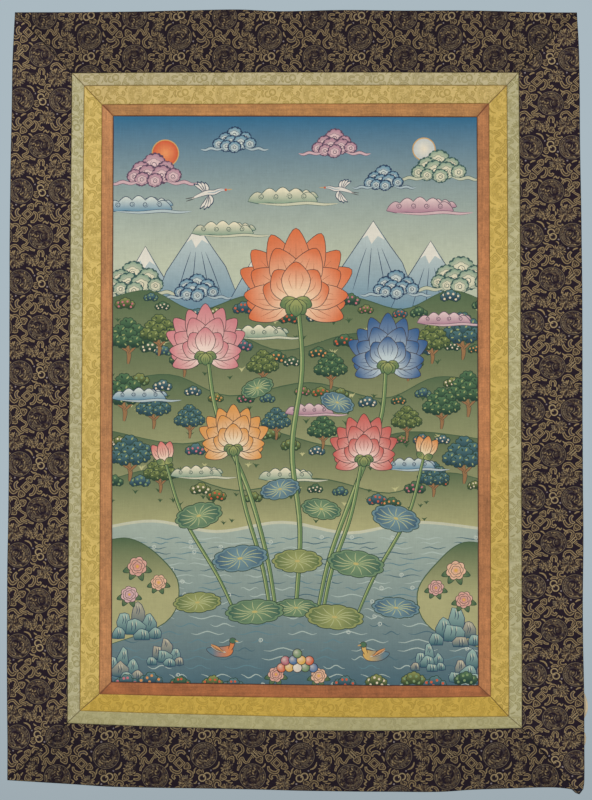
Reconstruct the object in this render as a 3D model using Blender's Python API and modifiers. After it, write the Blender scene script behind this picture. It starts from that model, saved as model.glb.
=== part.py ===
"""A painting on cloth in its sewn mount of woven silk, hanging against the air by its top edge.

The cloth hangs in the XZ plane with its face towards -Y. The origin is the middle of the top
edge, where the hanging is held. The painted cloth is framed by four nested frames of cloth,
each of four strips that meet in mitres, and a tie ribbon hangs behind the lower right border.
"""
import math
from collections import namedtuple

import bmesh
import bpy
from mathutils import Vector

MM = 0.001

# Cloth thicknesses and the hair gap that parts two sewn pieces.
PAINTING_THICKNESS = 1.2 * MM
BROCADE_THICKNESS = 1.5 * MM
RIBBON_THICKNESS = 1.0 * MM
SEAM_GAP = 0.3 * MM

# Grid cells along a strip, across a narrow and a wide one, and on the painted cloth.
CELLS_ACROSS_HANGING = 16
CELLS_DOWN_HANGING = 22
CELLS_OVER_NARROW_STRIP = 1
CELLS_OVER_WIDE_STRIP = 3
CORNER_CROWDING = 1.7

# The outline, millimetres from the middle of the top edge: x to the right, z upwards.
# Each row is one place on that edge, "along" the edge and "across" it.
EdgePoint = namedtuple("EdgePoint", "along across")

TOP_EDGE = (
    EdgePoint(along=-421.5, across=-2.9),
    EdgePoint(along=-336.0, across=-2.6),
    EdgePoint(along=-234.0, across=-1.7),
    EdgePoint(along=-174.0, across=0.0),
    EdgePoint(along=-90.0, across=1.6),
    EdgePoint(along=-24.0, across=-0.9),
    EdgePoint(along=66.0, across=1.0),
    EdgePoint(along=156.0, across=0.1),
    EdgePoint(along=246.0, across=0.3),
    EdgePoint(along=306.0, across=-0.9),
    EdgePoint(along=373.5, across=-2.5),
    EdgePoint(along=421.5, across=-2.9),
)

RIGHT_EDGE = (
    EdgePoint(along=-2.9, across=421.5),
    EdgePoint(along=-71.0, across=425.0),
    EdgePoint(along=-191.0, across=426.5),
    EdgePoint(along=-311.0, across=428.4),
    EdgePoint(along=-431.0, across=429.3),
    EdgePoint(along=-551.0, across=429.6),
    EdgePoint(along=-671.0, across=430.5),
    EdgePoint(along=-791.0, across=431.5),
    EdgePoint(along=-911.0, across=430.0),
    EdgePoint(along=-1031.0, across=432.3),
    EdgePoint(along=-1091.0, across=432.6),
    EdgePoint(along=-1151.0, across=431.7),
    EdgePoint(along=-1168.0, across=429.2),
    EdgePoint(along=-1174.0, across=423.9),
)

BOTTOM_EDGE = (
    EdgePoint(along=-432.9, across=-1154.3),
    EdgePoint(along=-336.0, across=-1159.8),
    EdgePoint(along=-276.0, across=-1164.2),
    EdgePoint(along=-216.0, across=-1166.1),
    EdgePoint(along=-126.0, across=-1167.8),
    EdgePoint(along=-36.0, across=-1169.3),
    EdgePoint(along=54.0, across=-1170.6),
    EdgePoint(along=144.0, across=-1171.5),
    EdgePoint(along=219.0, across=-1172.1),
    EdgePoint(along=264.0, across=-1169.7),
    EdgePoint(along=324.0, across=-1167.3),
    EdgePoint(along=384.0, across=-1164.9),
    EdgePoint(along=405.0, across=-1165.8),
    EdgePoint(along=414.0, across=-1167.6),
    EdgePoint(along=418.5, across=-1172.3),
    EdgePoint(along=423.9, across=-1174.0),
)

LEFT_EDGE = (
    EdgePoint(along=-2.9, across=-421.5),
    EdgePoint(along=-71.0, across=-425.0),
    EdgePoint(along=-131.0, across=-426.2),
    EdgePoint(along=-251.0, across=-428.4),
    EdgePoint(along=-371.0, across=-429.5),
    EdgePoint(along=-491.0, across=-430.1),
    EdgePoint(along=-611.0, across=-431.0),
    EdgePoint(along=-731.0, across=-431.3),
    EdgePoint(along=-851.0, across=-432.8),
    EdgePoint(along=-1031.0, across=-433.4),
    EdgePoint(along=-1091.0, across=-432.6),
    EdgePoint(along=-1154.3, across=-432.9),
)

# The seam lines inside the outline, from the outer brocade inwards to the painted cloth:
# four corners as (x, z) in millimetres, and how far each side bows outwards at its middle.
SeamLine = namedtuple(
    "SeamLine", "top_left top_right bottom_right bottom_left bow_top bow_right bow_bottom bow_left"
)

GREEN_OUTSIDE = SeamLine(
    top_left=(-336.0, -93.9), top_right=(334.2, -92.9),
    bottom_right=(339.0, -1076.3), bottom_left=(-342.6, -1068.2),
    bow_top=0.8, bow_right=1.2, bow_bottom=7.0, bow_left=0.6,
)
YELLOW_OUTSIDE = SeamLine(
    top_left=(-317.7, -112.8), top_right=(316.5, -112.2),
    bottom_right=(319.4, -1059.2), bottom_left=(-324.0, -1050.0),
    bow_top=0.6, bow_right=0.9, bow_bottom=4.6, bow_left=0.5,
)
ORANGE_OUTSIDE = SeamLine(
    top_left=(-291.0, -141.2), top_right=(289.4, -139.5),
    bottom_right=(292.0, -1029.3), bottom_left=(-294.9, -1025.0),
    bow_top=0.4, bow_right=0.6, bow_bottom=3.4, bow_left=0.4,
)
PAINTING_EDGE = SeamLine(
    top_left=(-274.4, -157.8), top_right=(272.0, -159.2),
    bottom_right=(274.0, -1013.0), bottom_left=(-277.2, -1007.4),
    bow_top=0.3, bow_right=0.5, bow_bottom=1.7, bow_left=0.3,
)

# Soft swells of the hanging cloth, millimetres: where each is, how far it reaches and how
# far it stands out. A positive height lies behind the hanging plane and a negative one before it.
Swell = namedtuple("Swell", "x z reach_x reach_z height")
SWELLS = (
    Swell(x=0.0, z=-560.0, reach_x=300.0, reach_z=380.0, height=5.0),
    Swell(x=-250.0, z=-60.0, reach_x=170.0, reach_z=70.0, height=-2.0),
    Swell(x=210.0, z=-50.0, reach_x=150.0, reach_z=70.0, height=2.0),
    Swell(x=-345.0, z=-1140.0, reach_x=110.0, reach_z=150.0, height=-5.0),
    Swell(x=-130.0, z=-1160.0, reach_x=120.0, reach_z=120.0, height=4.0),
    Swell(x=90.0, z=-1160.0, reach_x=120.0, reach_z=130.0, height=-5.0),
    Swell(x=275.0, z=-1170.0, reach_x=80.0, reach_z=110.0, height=4.0),
    Swell(x=430.0, z=-1180.0, reach_x=45.0, reach_z=50.0, height=-11.0),
    Swell(x=-435.0, z=-330.0, reach_x=55.0, reach_z=120.0, height=-3.0),
    Swell(x=-435.0, z=-610.0, reach_x=55.0, reach_z=120.0, height=3.0),
    Swell(x=-435.0, z=-880.0, reach_x=60.0, reach_z=120.0, height=-4.0),
    Swell(x=435.0, z=-230.0, reach_x=55.0, reach_z=110.0, height=3.0),
    Swell(x=435.0, z=-480.0, reach_x=55.0, reach_z=120.0, height=-3.0),
    Swell(x=435.0, z=-740.0, reach_x=55.0, reach_z=110.0, height=3.5),
    Swell(x=435.0, z=-920.0, reach_x=55.0, reach_z=80.0, height=-4.0),
)

# The tie ribbon: its centre line from its sewn end down to its free end, millimetres.
# "behind" is the clear space between the border's back and the ribbon's face.
RIBBON_WIDTH = 24.0 * MM
RIBBON_CELLS_LONG = 18
RIBBON_CELLS_WIDE = 2
RIBBON_SIGHT = 0.02  # share of the drop, each way, over which the ribbon's direction is taken
RibbonPoint = namedtuple("RibbonPoint", "x z behind")
RIBBON_ROUTE = (
    RibbonPoint(x=404.0, z=-976.0, behind=0.35),
    RibbonPoint(x=409.0, z=-998.0, behind=0.8),
    RibbonPoint(x=418.5, z=-1021.0, behind=3.0),
    RibbonPoint(x=426.6, z=-1045.0, behind=4.5),
    RibbonPoint(x=420.0, z=-1063.0, behind=3.6),
    RibbonPoint(x=418.0, z=-1079.0, behind=3.0),
    RibbonPoint(x=423.8, z=-1093.0, behind=3.6),
    RibbonPoint(x=416.0, z=-1110.0, behind=3.0),
    RibbonPoint(x=405.0, z=-1125.0, behind=2.4),
)

# Each cloth's colour, roughness and metallic value.
Finish = namedtuple("Finish", "name colour roughness metallic")
PAINT = Finish("paint_on_cotton", (0.16, 0.22, 0.19), 0.85, 0.0)
ORANGE_SILK = Finish("orange_silk", (0.41, 0.19, 0.08), 0.7, 0.0)
YELLOW_SILK = Finish("yellow_silk", (0.50, 0.35, 0.12), 0.55, 0.0)
GREEN_SILK = Finish("green_silk", (0.41, 0.35, 0.19), 0.6, 0.0)
DARK_BROCADE = Finish("dark_brocade", (0.07, 0.05, 0.045), 0.65, 0.05)
RIBBON_SILK = Finish("ribbon_silk", (0.62, 0.42, 0.16), 0.5, 0.0)


def clear_scene():
    for found in list(bpy.data.objects):
        bpy.data.objects.remove(found, do_unlink=True)
    for found in list(bpy.data.collections):
        bpy.data.collections.remove(found)


def smooth_value(rows, at):
    """The table's value at a place, on a smooth curve through its rows."""
    rows = sorted(rows)
    at = min(max(at, rows[0].along), rows[-1].along)
    index = 0
    while index < len(rows) - 2 and rows[index + 1].along < at:
        index += 1
    low = rows[index]
    high = rows[index + 1]
    before = rows[max(index - 1, 0)]
    after = rows[min(index + 2, len(rows) - 1)]
    span = high.along - low.along
    slope_low = (high.across - before.across) / (high.along - before.along)
    slope_high = (after.across - low.across) / (after.along - low.along)
    share = (at - low.along) / span
    square = share * share
    cube = square * share
    value = (2.0 * cube - 3.0 * square + 1.0) * low.across
    value += (cube - 2.0 * square + share) * span * slope_low
    value += (3.0 * square - 2.0 * cube) * high.across
    value += (cube - square) * span * slope_high
    return value


def relief(x, z):
    """How far the cloth lies behind its hanging plane at a place, all in metres."""
    depth = 0.0
    for swell in SWELLS:
        dx = (x / MM - swell.x) / swell.reach_x
        dz = (z / MM - swell.z) / swell.reach_z
        depth += swell.height * math.exp(-(dx * dx + dz * dz))
    return depth * MM


def outline_point(side, share):
    """A place on the outer edge, by its share of the side from left to right or from top to bottom."""
    table, upright = {
        "top": (TOP_EDGE, False),
        "bottom": (BOTTOM_EDGE, False),
        "left": (LEFT_EDGE, True),
        "right": (RIGHT_EDGE, True),
    }[side]
    start = table[0].along
    end = table[-1].along
    along = start + (end - start) * share
    across = smooth_value(table, along)
    if upright:
        return Vector((across, along)) * MM
    return Vector((along, across)) * MM


def seam_point(line, side, share):
    """The same on one of the seam lines inside the outline."""
    start, end, bow, outwards = {
        "top": (line.top_left, line.top_right, line.bow_top, Vector((0.0, 1.0))),
        "bottom": (line.bottom_left, line.bottom_right, line.bow_bottom, Vector((0.0, -1.0))),
        "left": (line.top_left, line.bottom_left, line.bow_left, Vector((-1.0, 0.0))),
        "right": (line.top_right, line.bottom_right, line.bow_right, Vector((1.0, 0.0))),
    }[side]
    place = Vector(start).lerp(Vector(end), share)
    place += outwards * bow * 4.0 * share * (1.0 - share)
    return place * MM


def edge_point(line, side, share):
    if line is None:
        return outline_point(side, share)
    return seam_point(line, side, share)


def on_cloth(flat):
    """The hanging cloth's middle surface over a place in the hanging plane."""
    return Vector((flat.x, relief(flat.x, flat.y), flat.y))


def make_material(finish):
    material = bpy.data.materials.new(finish.name)
    material.use_nodes = True
    shader = material.node_tree.nodes["Principled BSDF"]
    shader.inputs["Base Color"].default_value = (*finish.colour, 1.0)
    shader.inputs["Roughness"].default_value = finish.roughness
    shader.inputs["Metallic"].default_value = finish.metallic
    material.diffuse_color = (*finish.colour, 1.0)
    return material


def make_sheet(name, place, cells_long, cells_wide, thickness, finish, collection):
    """One cut piece of cloth: a grid laid on the place function, then given its thickness."""
    mesh = bpy.data.meshes.new(name)
    sheet = bmesh.new()
    bmesh.ops.create_grid(sheet, x_segments=cells_long, y_segments=cells_wide, size=0.5)
    for vertex in sheet.verts:
        vertex.co = place(vertex.co.x + 0.5, vertex.co.y + 0.5)
    bmesh.ops.triangulate(sheet, faces=sheet.faces[:])
    bmesh.ops.recalc_face_normals(sheet, faces=sheet.faces[:])
    sheet.to_mesh(mesh)
    sheet.free()
    mesh.shade_smooth()
    piece = bpy.data.objects.new(name, mesh)
    piece.data.materials.append(make_material(finish))
    collection.objects.link(piece)
    shell = piece.modifiers.new("cloth thickness", "SOLIDIFY")
    shell.thickness = thickness
    shell.offset = 0.0
    return piece


def strip_place(outer, inner, side, crowded):
    """The place function of one mitred strip between two lines of the mount."""
    length = (edge_point(outer, side, 1.0) - edge_point(outer, side, 0.0)).length
    width = (edge_point(outer, side, 0.5) - edge_point(inner, side, 0.5)).length
    end_trim = 0.5 * SEAM_GAP * math.sqrt(2.0) / length
    outer_trim = 0.0 if outer is None else 0.5 * SEAM_GAP / width
    inner_trim = 0.5 * SEAM_GAP / width

    def place(long_share, wide_share):
        if crowded:
            long_share = 1.0 - (1.0 - long_share) ** CORNER_CROWDING
        along = end_trim + (1.0 - 2.0 * end_trim) * long_share
        across = outer_trim + (1.0 - outer_trim - inner_trim) * wide_share
        return on_cloth(edge_point(outer, side, along).lerp(edge_point(inner, side, along), across))

    return place


def make_frame_of_strips(name, outer, inner, cells_wide, finish, collection):
    for side in ("top", "bottom", "left", "right"):
        cells_long = CELLS_ACROSS_HANGING if side in ("top", "bottom") else CELLS_DOWN_HANGING
        crowded = outer is None and side in ("bottom", "right")
        place = strip_place(outer, inner, side, crowded)
        make_sheet(f"{name}_{side}", place, cells_long, cells_wide, BROCADE_THICKNESS, finish, collection)


def make_painted_cloth(collection):
    """The painted cloth, blended between its four slightly bowed edges."""
    width = seam_point(PAINTING_EDGE, "right", 0.5).x - seam_point(PAINTING_EDGE, "left", 0.5).x
    height = seam_point(PAINTING_EDGE, "top", 0.5).y - seam_point(PAINTING_EDGE, "bottom", 0.5).y
    trim_across = 0.5 * SEAM_GAP / width
    trim_down = 0.5 * SEAM_GAP / height

    def place(long_share, wide_share):
        u = trim_across + (1.0 - 2.0 * trim_across) * long_share
        v = trim_down + (1.0 - 2.0 * trim_down) * wide_share
        top = seam_point(PAINTING_EDGE, "top", u)
        bottom = seam_point(PAINTING_EDGE, "bottom", u)
        left = seam_point(PAINTING_EDGE, "left", v)
        right = seam_point(PAINTING_EDGE, "right", v)
        straight_top = seam_point(PAINTING_EDGE, "top", 0.0).lerp(seam_point(PAINTING_EDGE, "top", 1.0), u)
        straight_bottom = seam_point(PAINTING_EDGE, "bottom", 0.0).lerp(
            seam_point(PAINTING_EDGE, "bottom", 1.0), u
        )
        corners = straight_top.lerp(straight_bottom, v)
        return on_cloth(top.lerp(bottom, v) + left.lerp(right, u) - corners)

    make_sheet(
        "painted_cloth", place, CELLS_ACROSS_HANGING, CELLS_DOWN_HANGING,
        PAINTING_THICKNESS, PAINT, collection,
    )


def ribbon_centre(share):
    """The ribbon's centre line at a share of its drop: x, z and the space behind the border."""
    first = RIBBON_ROUTE[0].z
    last = RIBBON_ROUTE[-1].z
    z = first + (last - first) * share
    x = smooth_value([EdgePoint(along=row.z, across=row.x) for row in RIBBON_ROUTE], z)
    behind = smooth_value([EdgePoint(along=row.z, across=row.behind) for row in RIBBON_ROUTE], z)
    return x * MM, z * MM, behind * MM


def make_tie_ribbon(collection):
    half_cloths = 0.5 * (BROCADE_THICKNESS + RIBBON_THICKNESS)

    def place(long_share, wide_share):
        x, z, behind = ribbon_centre(long_share)
        step_x, step_z, _ = ribbon_centre(min(long_share + RIBBON_SIGHT, 1.0))
        back_x, back_z, _ = ribbon_centre(max(long_share - RIBBON_SIGHT, 0.0))
        run = Vector((step_x - back_x, step_z - back_z)).normalized()
        across = Vector((-run.y, run.x)) * RIBBON_WIDTH * (wide_share - 0.5)
        spot = Vector((x, z)) + across
        return Vector((spot.x, relief(spot.x, spot.y) + half_cloths + behind, spot.y))

    make_sheet(
        "tie_ribbon", place, RIBBON_CELLS_LONG, RIBBON_CELLS_WIDE,
        RIBBON_THICKNESS, RIBBON_SILK, collection,
    )


def main():
    clear_scene()
    collection = bpy.data.collections.new("hanging_scroll_painting")
    bpy.context.scene.collection.children.link(collection)
    make_painted_cloth(collection)
    make_frame_of_strips(
        "orange_strip", ORANGE_OUTSIDE, PAINTING_EDGE, CELLS_OVER_NARROW_STRIP, ORANGE_SILK, collection
    )
    make_frame_of_strips(
        "yellow_strip", YELLOW_OUTSIDE, ORANGE_OUTSIDE, CELLS_OVER_NARROW_STRIP, YELLOW_SILK, collection
    )
    make_frame_of_strips(
        "green_strip", GREEN_OUTSIDE, YELLOW_OUTSIDE, CELLS_OVER_NARROW_STRIP, GREEN_SILK, collection
    )
    make_frame_of_strips(
        "outer_border", None, GREEN_OUTSIDE, CELLS_OVER_WIDE_STRIP, DARK_BROCADE, collection
    )
    make_tie_ribbon(collection)


main()
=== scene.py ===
# %% [markdown]
# # A painting on cloth in its sewn silk mount
# This lesson dresses a finished construction model of a hanging scroll painting. The model
# holds the true sizes: a painted cloth, four nested frames of silk strips and a tie ribbon.
# Here each flat stand-in gets a fine cloth of its own, with its woven or painted figures.
# The first cell loads the frame.

import math
from collections import namedtuple

import bpy
import numpy as np
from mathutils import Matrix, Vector
from mathutils.geometry import delaunay_2d_cdt


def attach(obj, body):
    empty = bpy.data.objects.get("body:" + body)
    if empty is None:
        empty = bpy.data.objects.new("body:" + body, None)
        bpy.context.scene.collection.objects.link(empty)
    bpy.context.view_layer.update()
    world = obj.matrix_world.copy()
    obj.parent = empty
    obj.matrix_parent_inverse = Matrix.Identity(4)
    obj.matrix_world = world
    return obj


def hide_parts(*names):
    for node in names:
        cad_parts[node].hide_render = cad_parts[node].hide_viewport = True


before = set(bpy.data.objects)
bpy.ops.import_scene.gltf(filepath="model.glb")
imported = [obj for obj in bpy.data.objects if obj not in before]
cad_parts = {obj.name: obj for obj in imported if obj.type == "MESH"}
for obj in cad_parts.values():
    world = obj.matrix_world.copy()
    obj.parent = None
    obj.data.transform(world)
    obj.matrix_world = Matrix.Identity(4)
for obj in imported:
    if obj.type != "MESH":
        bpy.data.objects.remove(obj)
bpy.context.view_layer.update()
MM = 0.001
print("nodes in the frame:", len(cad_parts))

# %% [markdown]
# ## Camera, light and floor
# The picture looks straight at the cloth, so a long lens stands far back and keeps every
# edge parallel. The frame is 592 by 800 pixels, and a pixel covers 1.5 mm of cloth, which
# gives the distance. A broad soft lamp above and in front makes the top a little brighter
# than the bottom, and an even pale surround fills the shadows, as in a studio.

# %% Camera
PIXEL = 1.5 * MM
PICTURE_HEIGHT = 800 * PIXEL
PICTURE_MIDDLE = 389.5 * PIXEL
LENS = 110
SENSOR = 36

scene = bpy.context.scene
camera_data = bpy.data.cameras.new("camera")
camera_data.lens = LENS
camera_data.sensor_width = SENSOR
camera = bpy.data.objects.new("camera", camera_data)
camera.location = (0, -PICTURE_HEIGHT * LENS / SENSOR, -PICTURE_MIDDLE)
camera.rotation_euler = (math.radians(90), 0, 0)
scene.collection.objects.link(camera)
scene.camera = camera
scene.view_settings.view_transform = "Standard"
print("camera distance:", round(-camera.location.y, 3), "m")


# %% Helpers for colours and nodes
def srgb(red, green, blue):
    """A screen colour of 0 to 255 as the linear colour that shaders use."""
    share = np.array([red, green, blue]) / 255
    return np.where(share <= 0.04045, share / 12.92, ((share + 0.055) / 1.055) ** 2.4)


def node(tree, kind, inputs=None, **settings):
    """Adds a shader node, sets it up and feeds its inputs with values or other sockets."""
    made = tree.nodes.new("ShaderNode" + kind)
    for name, value in settings.items():
        setattr(made, name, value)
    for key, value in (inputs or {}).items():
        if isinstance(value, bpy.types.NodeSocket):
            tree.links.new(value, made.inputs[key])
        else:
            made.inputs[key].default_value = value
    return made


def maths(tree, operation, first, second=0, third=0):
    """One Math node, as its result."""
    inputs = {0: first, 1: second, 2: third}
    return node(tree, "Math", inputs, operation=operation).outputs[0]


print("a screen grey of 128 gives off", round(float(srgb(128, 128, 128)[0]), 3), "of white's light")

# %% Lamps
Lamp = namedtuple("Lamp", "name place aim size watts colour")
LAMPS = (
    Lamp("key_lamp", (-1.2, -2.6, 0.9), (0, 0, -0.5), (1.6, 1.2), 45, (1, 0.985, 0.965)),
    Lamp("fill_lamp", (1.7, -2.6, -1), (0, 0, -0.7), (1.8, 1.8), 20, (0.96, 0.98, 1)),
)


def hang_lamp(lamp):
    """A broad rectangular lamp that looks from its place at its aim."""
    data = bpy.data.lights.new(lamp.name, "AREA")
    data.shape = "RECTANGLE"
    data.size, data.size_y = lamp.size
    data.energy = lamp.watts
    data.color = lamp.colour
    made = bpy.data.objects.new(lamp.name, data)
    made.location = lamp.place
    aim = Vector(lamp.aim) - Vector(lamp.place)
    made.rotation_euler = aim.to_track_quat("-Z", "Y").to_euler()
    scene.collection.objects.link(made)


for lamp in LAMPS:
    hang_lamp(lamp)
print("lamps:", ", ".join(f"{lamp.name} {lamp.watts:.0f} W" for lamp in LAMPS))

# %% Surround: what the camera sees behind the cloth, and the even light that the cloth gets
# The surround is painted lighter at the top and darker below, as painted light from above.
SURROUND_TOP = srgb(170, 185, 193)
SURROUND_BOTTOM = srgb(158, 171, 178)
FADE_FROM = -0.165
FADE_TO = -0.065
AMBIENT = 0.5
AMBIENT_COLOUR = (0.97, 0.985, 1)

world = bpy.data.worlds.new("studio")
scene.world = world
world.use_nodes = True
sky_tree = world.node_tree
sky_tree.nodes.clear()
direction = node(sky_tree, "TexCoord").outputs["Generated"]
height = node(sky_tree, "SeparateXYZ", {0: direction}).outputs["Z"]
rise = node(sky_tree, "MapRange", {0: height, 1: FADE_FROM, 2: FADE_TO}).outputs[0]
seen_tones = {0: rise, 6: (*SURROUND_BOTTOM, 1), 7: (*SURROUND_TOP, 1)}
seen = node(sky_tree, "Mix", seen_tones, data_type="RGBA").outputs[2]
seen_light = node(sky_tree, "Background", {0: seen, 1: 1}).outputs[0]
soft = {0: (*AMBIENT_COLOUR, 1), 1: AMBIENT}
soft_light = node(sky_tree, "Background", soft).outputs[0]
ray = node(sky_tree, "LightPath").outputs["Is Camera Ray"]
both = node(sky_tree, "MixShader", {0: ray, 1: soft_light, 2: seen_light}).outputs[0]
node(sky_tree, "OutputWorld", {0: both})
print("even light of the surround:", AMBIENT)

# %% Floor
FLOOR_DROP = 1.9
FLOOR_SIZE = 8
FLOOR_PAINT = srgb(200, 208, 212)
FLOOR_ROUGHNESS = 0.9

bpy.ops.mesh.primitive_plane_add(size=FLOOR_SIZE, location=(0, 0, -FLOOR_DROP))
floor = bpy.context.object
floor.name = "floor"
floor_material = bpy.data.materials.new("pale_floor")
floor_material.use_nodes = True
floor_shader = floor_material.node_tree.nodes["Principled BSDF"]
floor_shader.inputs["Base Color"].default_value = (*FLOOR_PAINT, 1)
floor_shader.inputs["Roughness"].default_value = FLOOR_ROUGHNESS
floor.data.materials.append(floor_material)
print("the floor lies", FLOOR_DROP, "m below the top edge")

# %% [markdown]
# ## The shape in which the cloth hangs
# A hanging of this kind is never quite flat: the lower edge swings in long waves, the side
# borders curl a little, and the lower right corner droops in a small crumpled tail. The
# outline and the swells are the construction model's own, so they are repeated here in its
# sizes. Fine cockling, too shallow for the model, is added on top. One function gives the
# depth at any place, so neighbouring pieces share one surface and never part.

# %% The outer edge, in millimetres
EdgePoint = namedtuple("EdgePoint", "along across")
TOP_EDGE = (
    (-421.5, -2.9), (-336, -2.6), (-234, -1.7), (-174, 0), (-90, 1.6), (-24, -0.9),
    (66, 1), (156, 0.1), (246, 0.3), (306, -0.9), (373.5, -2.5), (421.5, -2.9),
)
RIGHT_EDGE = (
    (-1174, 423.9), (-1168, 429.2), (-1151, 431.7), (-1091, 432.6), (-1031, 432.3),
    (-911, 430), (-791, 431.5), (-671, 430.5), (-551, 429.6), (-431, 429.3),
    (-311, 428.4), (-191, 426.5), (-71, 425), (-2.9, 421.5),
)
BOTTOM_EDGE = (
    (-432.9, -1154.3), (-336, -1159.8), (-276, -1164.2), (-216, -1166.1), (-126, -1167.8),
    (-36, -1169.3), (54, -1170.6), (144, -1171.5), (219, -1172.1), (264, -1169.7),
    (324, -1167.3), (384, -1164.9), (405, -1165.8), (414, -1167.6), (418.5, -1172.3),
    (423.9, -1174),
)
LEFT_EDGE = (
    (-1154.3, -432.9), (-1091, -432.6), (-1031, -433.4), (-851, -432.8), (-731, -431.3),
    (-611, -431), (-491, -430.1), (-371, -429.5), (-251, -428.4), (-131, -426.2),
    (-71, -425), (-2.9, -421.5),
)
EDGES = {"top": TOP_EDGE, "bottom": BOTTOM_EDGE, "left": LEFT_EDGE, "right": RIGHT_EDGE}
EDGES = {side: [EdgePoint(*row) for row in rows] for side, rows in EDGES.items()}
print("points on the outer edge:", sum(len(rows) for rows in EDGES.values()))

# %% The seam lines between the frames: corners, and how far each side bows outwards
SeamLine = namedtuple(
    "SeamLine", "top_left top_right bottom_right bottom_left bow_top bow_right bow_bottom bow_left"
)
GREEN_OUTSIDE = SeamLine(
    (-336, -93.9), (334.2, -92.9), (339, -1076.3), (-342.6, -1068.2), 0.8, 1.2, 7, 0.6
)
YELLOW_OUTSIDE = SeamLine(
    (-317.7, -112.8), (316.5, -112.2), (319.4, -1059.2), (-324, -1050), 0.6, 0.9, 4.6, 0.5
)
ORANGE_OUTSIDE = SeamLine(
    (-291, -141.2), (289.4, -139.5), (292, -1029.3), (-294.9, -1025), 0.4, 0.6, 3.4, 0.4
)
PAINTING_EDGE = SeamLine(
    (-274.4, -157.8), (272, -159.2), (274, -1013), (-277.2, -1007.4), 0.3, 0.5, 1.7, 0.3
)
print("the painting is", PAINTING_EDGE.top_right[0] - PAINTING_EDGE.top_left[0], "mm wide at its top")

# %% Swells and cockling
Swell = namedtuple("Swell", "x z reach_x reach_z height")
SWELLS = [Swell(*row) for row in (
    (0, -560, 300, 380, 5), (-250, -60, 170, 70, -2),
    (210, -50, 150, 70, 2), (-345, -1140, 110, 150, -5),
    (-130, -1160, 120, 120, 4), (90, -1160, 120, 130, -5),
    (275, -1170, 80, 110, 4), (430, -1180, 45, 50, -11),
    (-435, -330, 55, 120, -3), (-435, -610, 55, 120, 3),
    (-435, -880, 60, 120, -4), (435, -230, 55, 110, 3),
    (435, -480, 55, 120, -3), (435, -740, 55, 110, 3.5),
    (435, -920, 55, 80, -4),
)]
# Cockling: shallow ripples of the silk, each with its wavelength, direction and height.
Ripple = namedtuple("Ripple", "wavelength turn shift height")
RIPPLES = [Ripple(*row) for row in (
    (173, 12, 0.4, 0.55), (121, 78, 2.1, 0.45), (83, -35, 4, 0.22), (67, 50, 1.2, 0.16),
)]
print("swells:", len(SWELLS), "and ripples:", len(RIPPLES))


# %% The depth at any place, and lines along the edges and seams
OUTER_POINTS = 150
SEAM_POINTS = 40
PAINTING_ACROSS = 24
PAINTING_DOWN = 36


def smooth_value(rows, at):
    """The table's value at a place, on a smooth curve through its rows."""
    at = min(max(at, rows[0].along), rows[-1].along)
    index = 0
    while index < len(rows) - 2 and rows[index + 1].along < at:
        index += 1
    low, high = rows[index], rows[index + 1]
    before, after = rows[max(index - 1, 0)], rows[min(index + 2, len(rows) - 1)]
    span = high.along - low.along
    slope_low = (high.across - before.across) / (high.along - before.along)
    slope_high = (after.across - low.across) / (after.along - low.along)
    t = (at - low.along) / span
    value = (2 * t**3 - 3 * t**2 + 1) * low.across + (t**3 - 2 * t**2 + t) * span * slope_low
    return value + (3 * t**2 - 2 * t**3) * high.across + (t**3 - t**2) * span * slope_high


def relief(x, z):
    """How far the cloth lies behind its hanging plane, all in millimetres, for whole arrays."""
    depth = np.zeros(np.shape(x))
    for swell in SWELLS:
        reach = ((x - swell.x) / swell.reach_x) ** 2 + ((z - swell.z) / swell.reach_z) ** 2
        depth += swell.height * np.exp(-reach)
    for ripple in RIPPLES:
        turn = math.radians(ripple.turn)
        run = x * math.cos(turn) + z * math.sin(turn)
        depth += ripple.height * np.sin(2 * math.pi * run / ripple.wavelength + ripple.shift)
    return depth


def side_line(line, side, count):
    """Points along one side of a seam line, or of the outer edge where the line is None."""
    shares = np.linspace(0, 1, count)
    if line is None:
        rows = EDGES[side]
        along = rows[0].along + (rows[-1].along - rows[0].along) * shares
        if side in ("left", "right"):
            along = along[::-1]
        across = np.array([smooth_value(rows, place) for place in along])
        pairs = (along, across) if side in ("top", "bottom") else (across, along)
        return np.column_stack(pairs)
    start, end, bow, outwards = {
        "top": (line.top_left, line.top_right, line.bow_top, (0, 1)),
        "bottom": (line.bottom_left, line.bottom_right, line.bow_bottom, (0, -1)),
        "left": (line.top_left, line.bottom_left, line.bow_left, (-1, 0)),
        "right": (line.top_right, line.bottom_right, line.bow_right, (1, 0)),
    }[side]
    start, end, outwards = np.array(start), np.array(end), np.array(outwards)
    straight = start + (end - start) * shares[:, None]
    return straight + outwards * (4 * bow * shares * (1 - shares))[:, None]


def strip_outline(outer, inner, side):
    """The closed outline of a mitred strip between two lines of the mount, and its two mitres."""
    first = side_line(outer, side, OUTER_POINTS if outer is None else SEAM_POINTS)
    second = side_line(inner, side, SEAM_POINTS)[::-1]
    return np.vstack([first, second]), (np.array([first[-1], second[0]]), np.array([second[-1], first[0]]))


def painting_outline():
    """The painted cloth's closed outline, with each corner once."""
    top, bottom = (side_line(PAINTING_EDGE, side, PAINTING_ACROSS) for side in ("top", "bottom"))
    left, right = (side_line(PAINTING_EDGE, side, PAINTING_DOWN) for side in ("left", "right"))
    return np.vstack([top, right[1:], bottom[::-1][1:], left[::-1][1:-1]])


corner_depth = float(relief(np.array(424), np.array(-1174)))
print("depth at the drooping corner:", round(corner_depth, 1), "mm")

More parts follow.
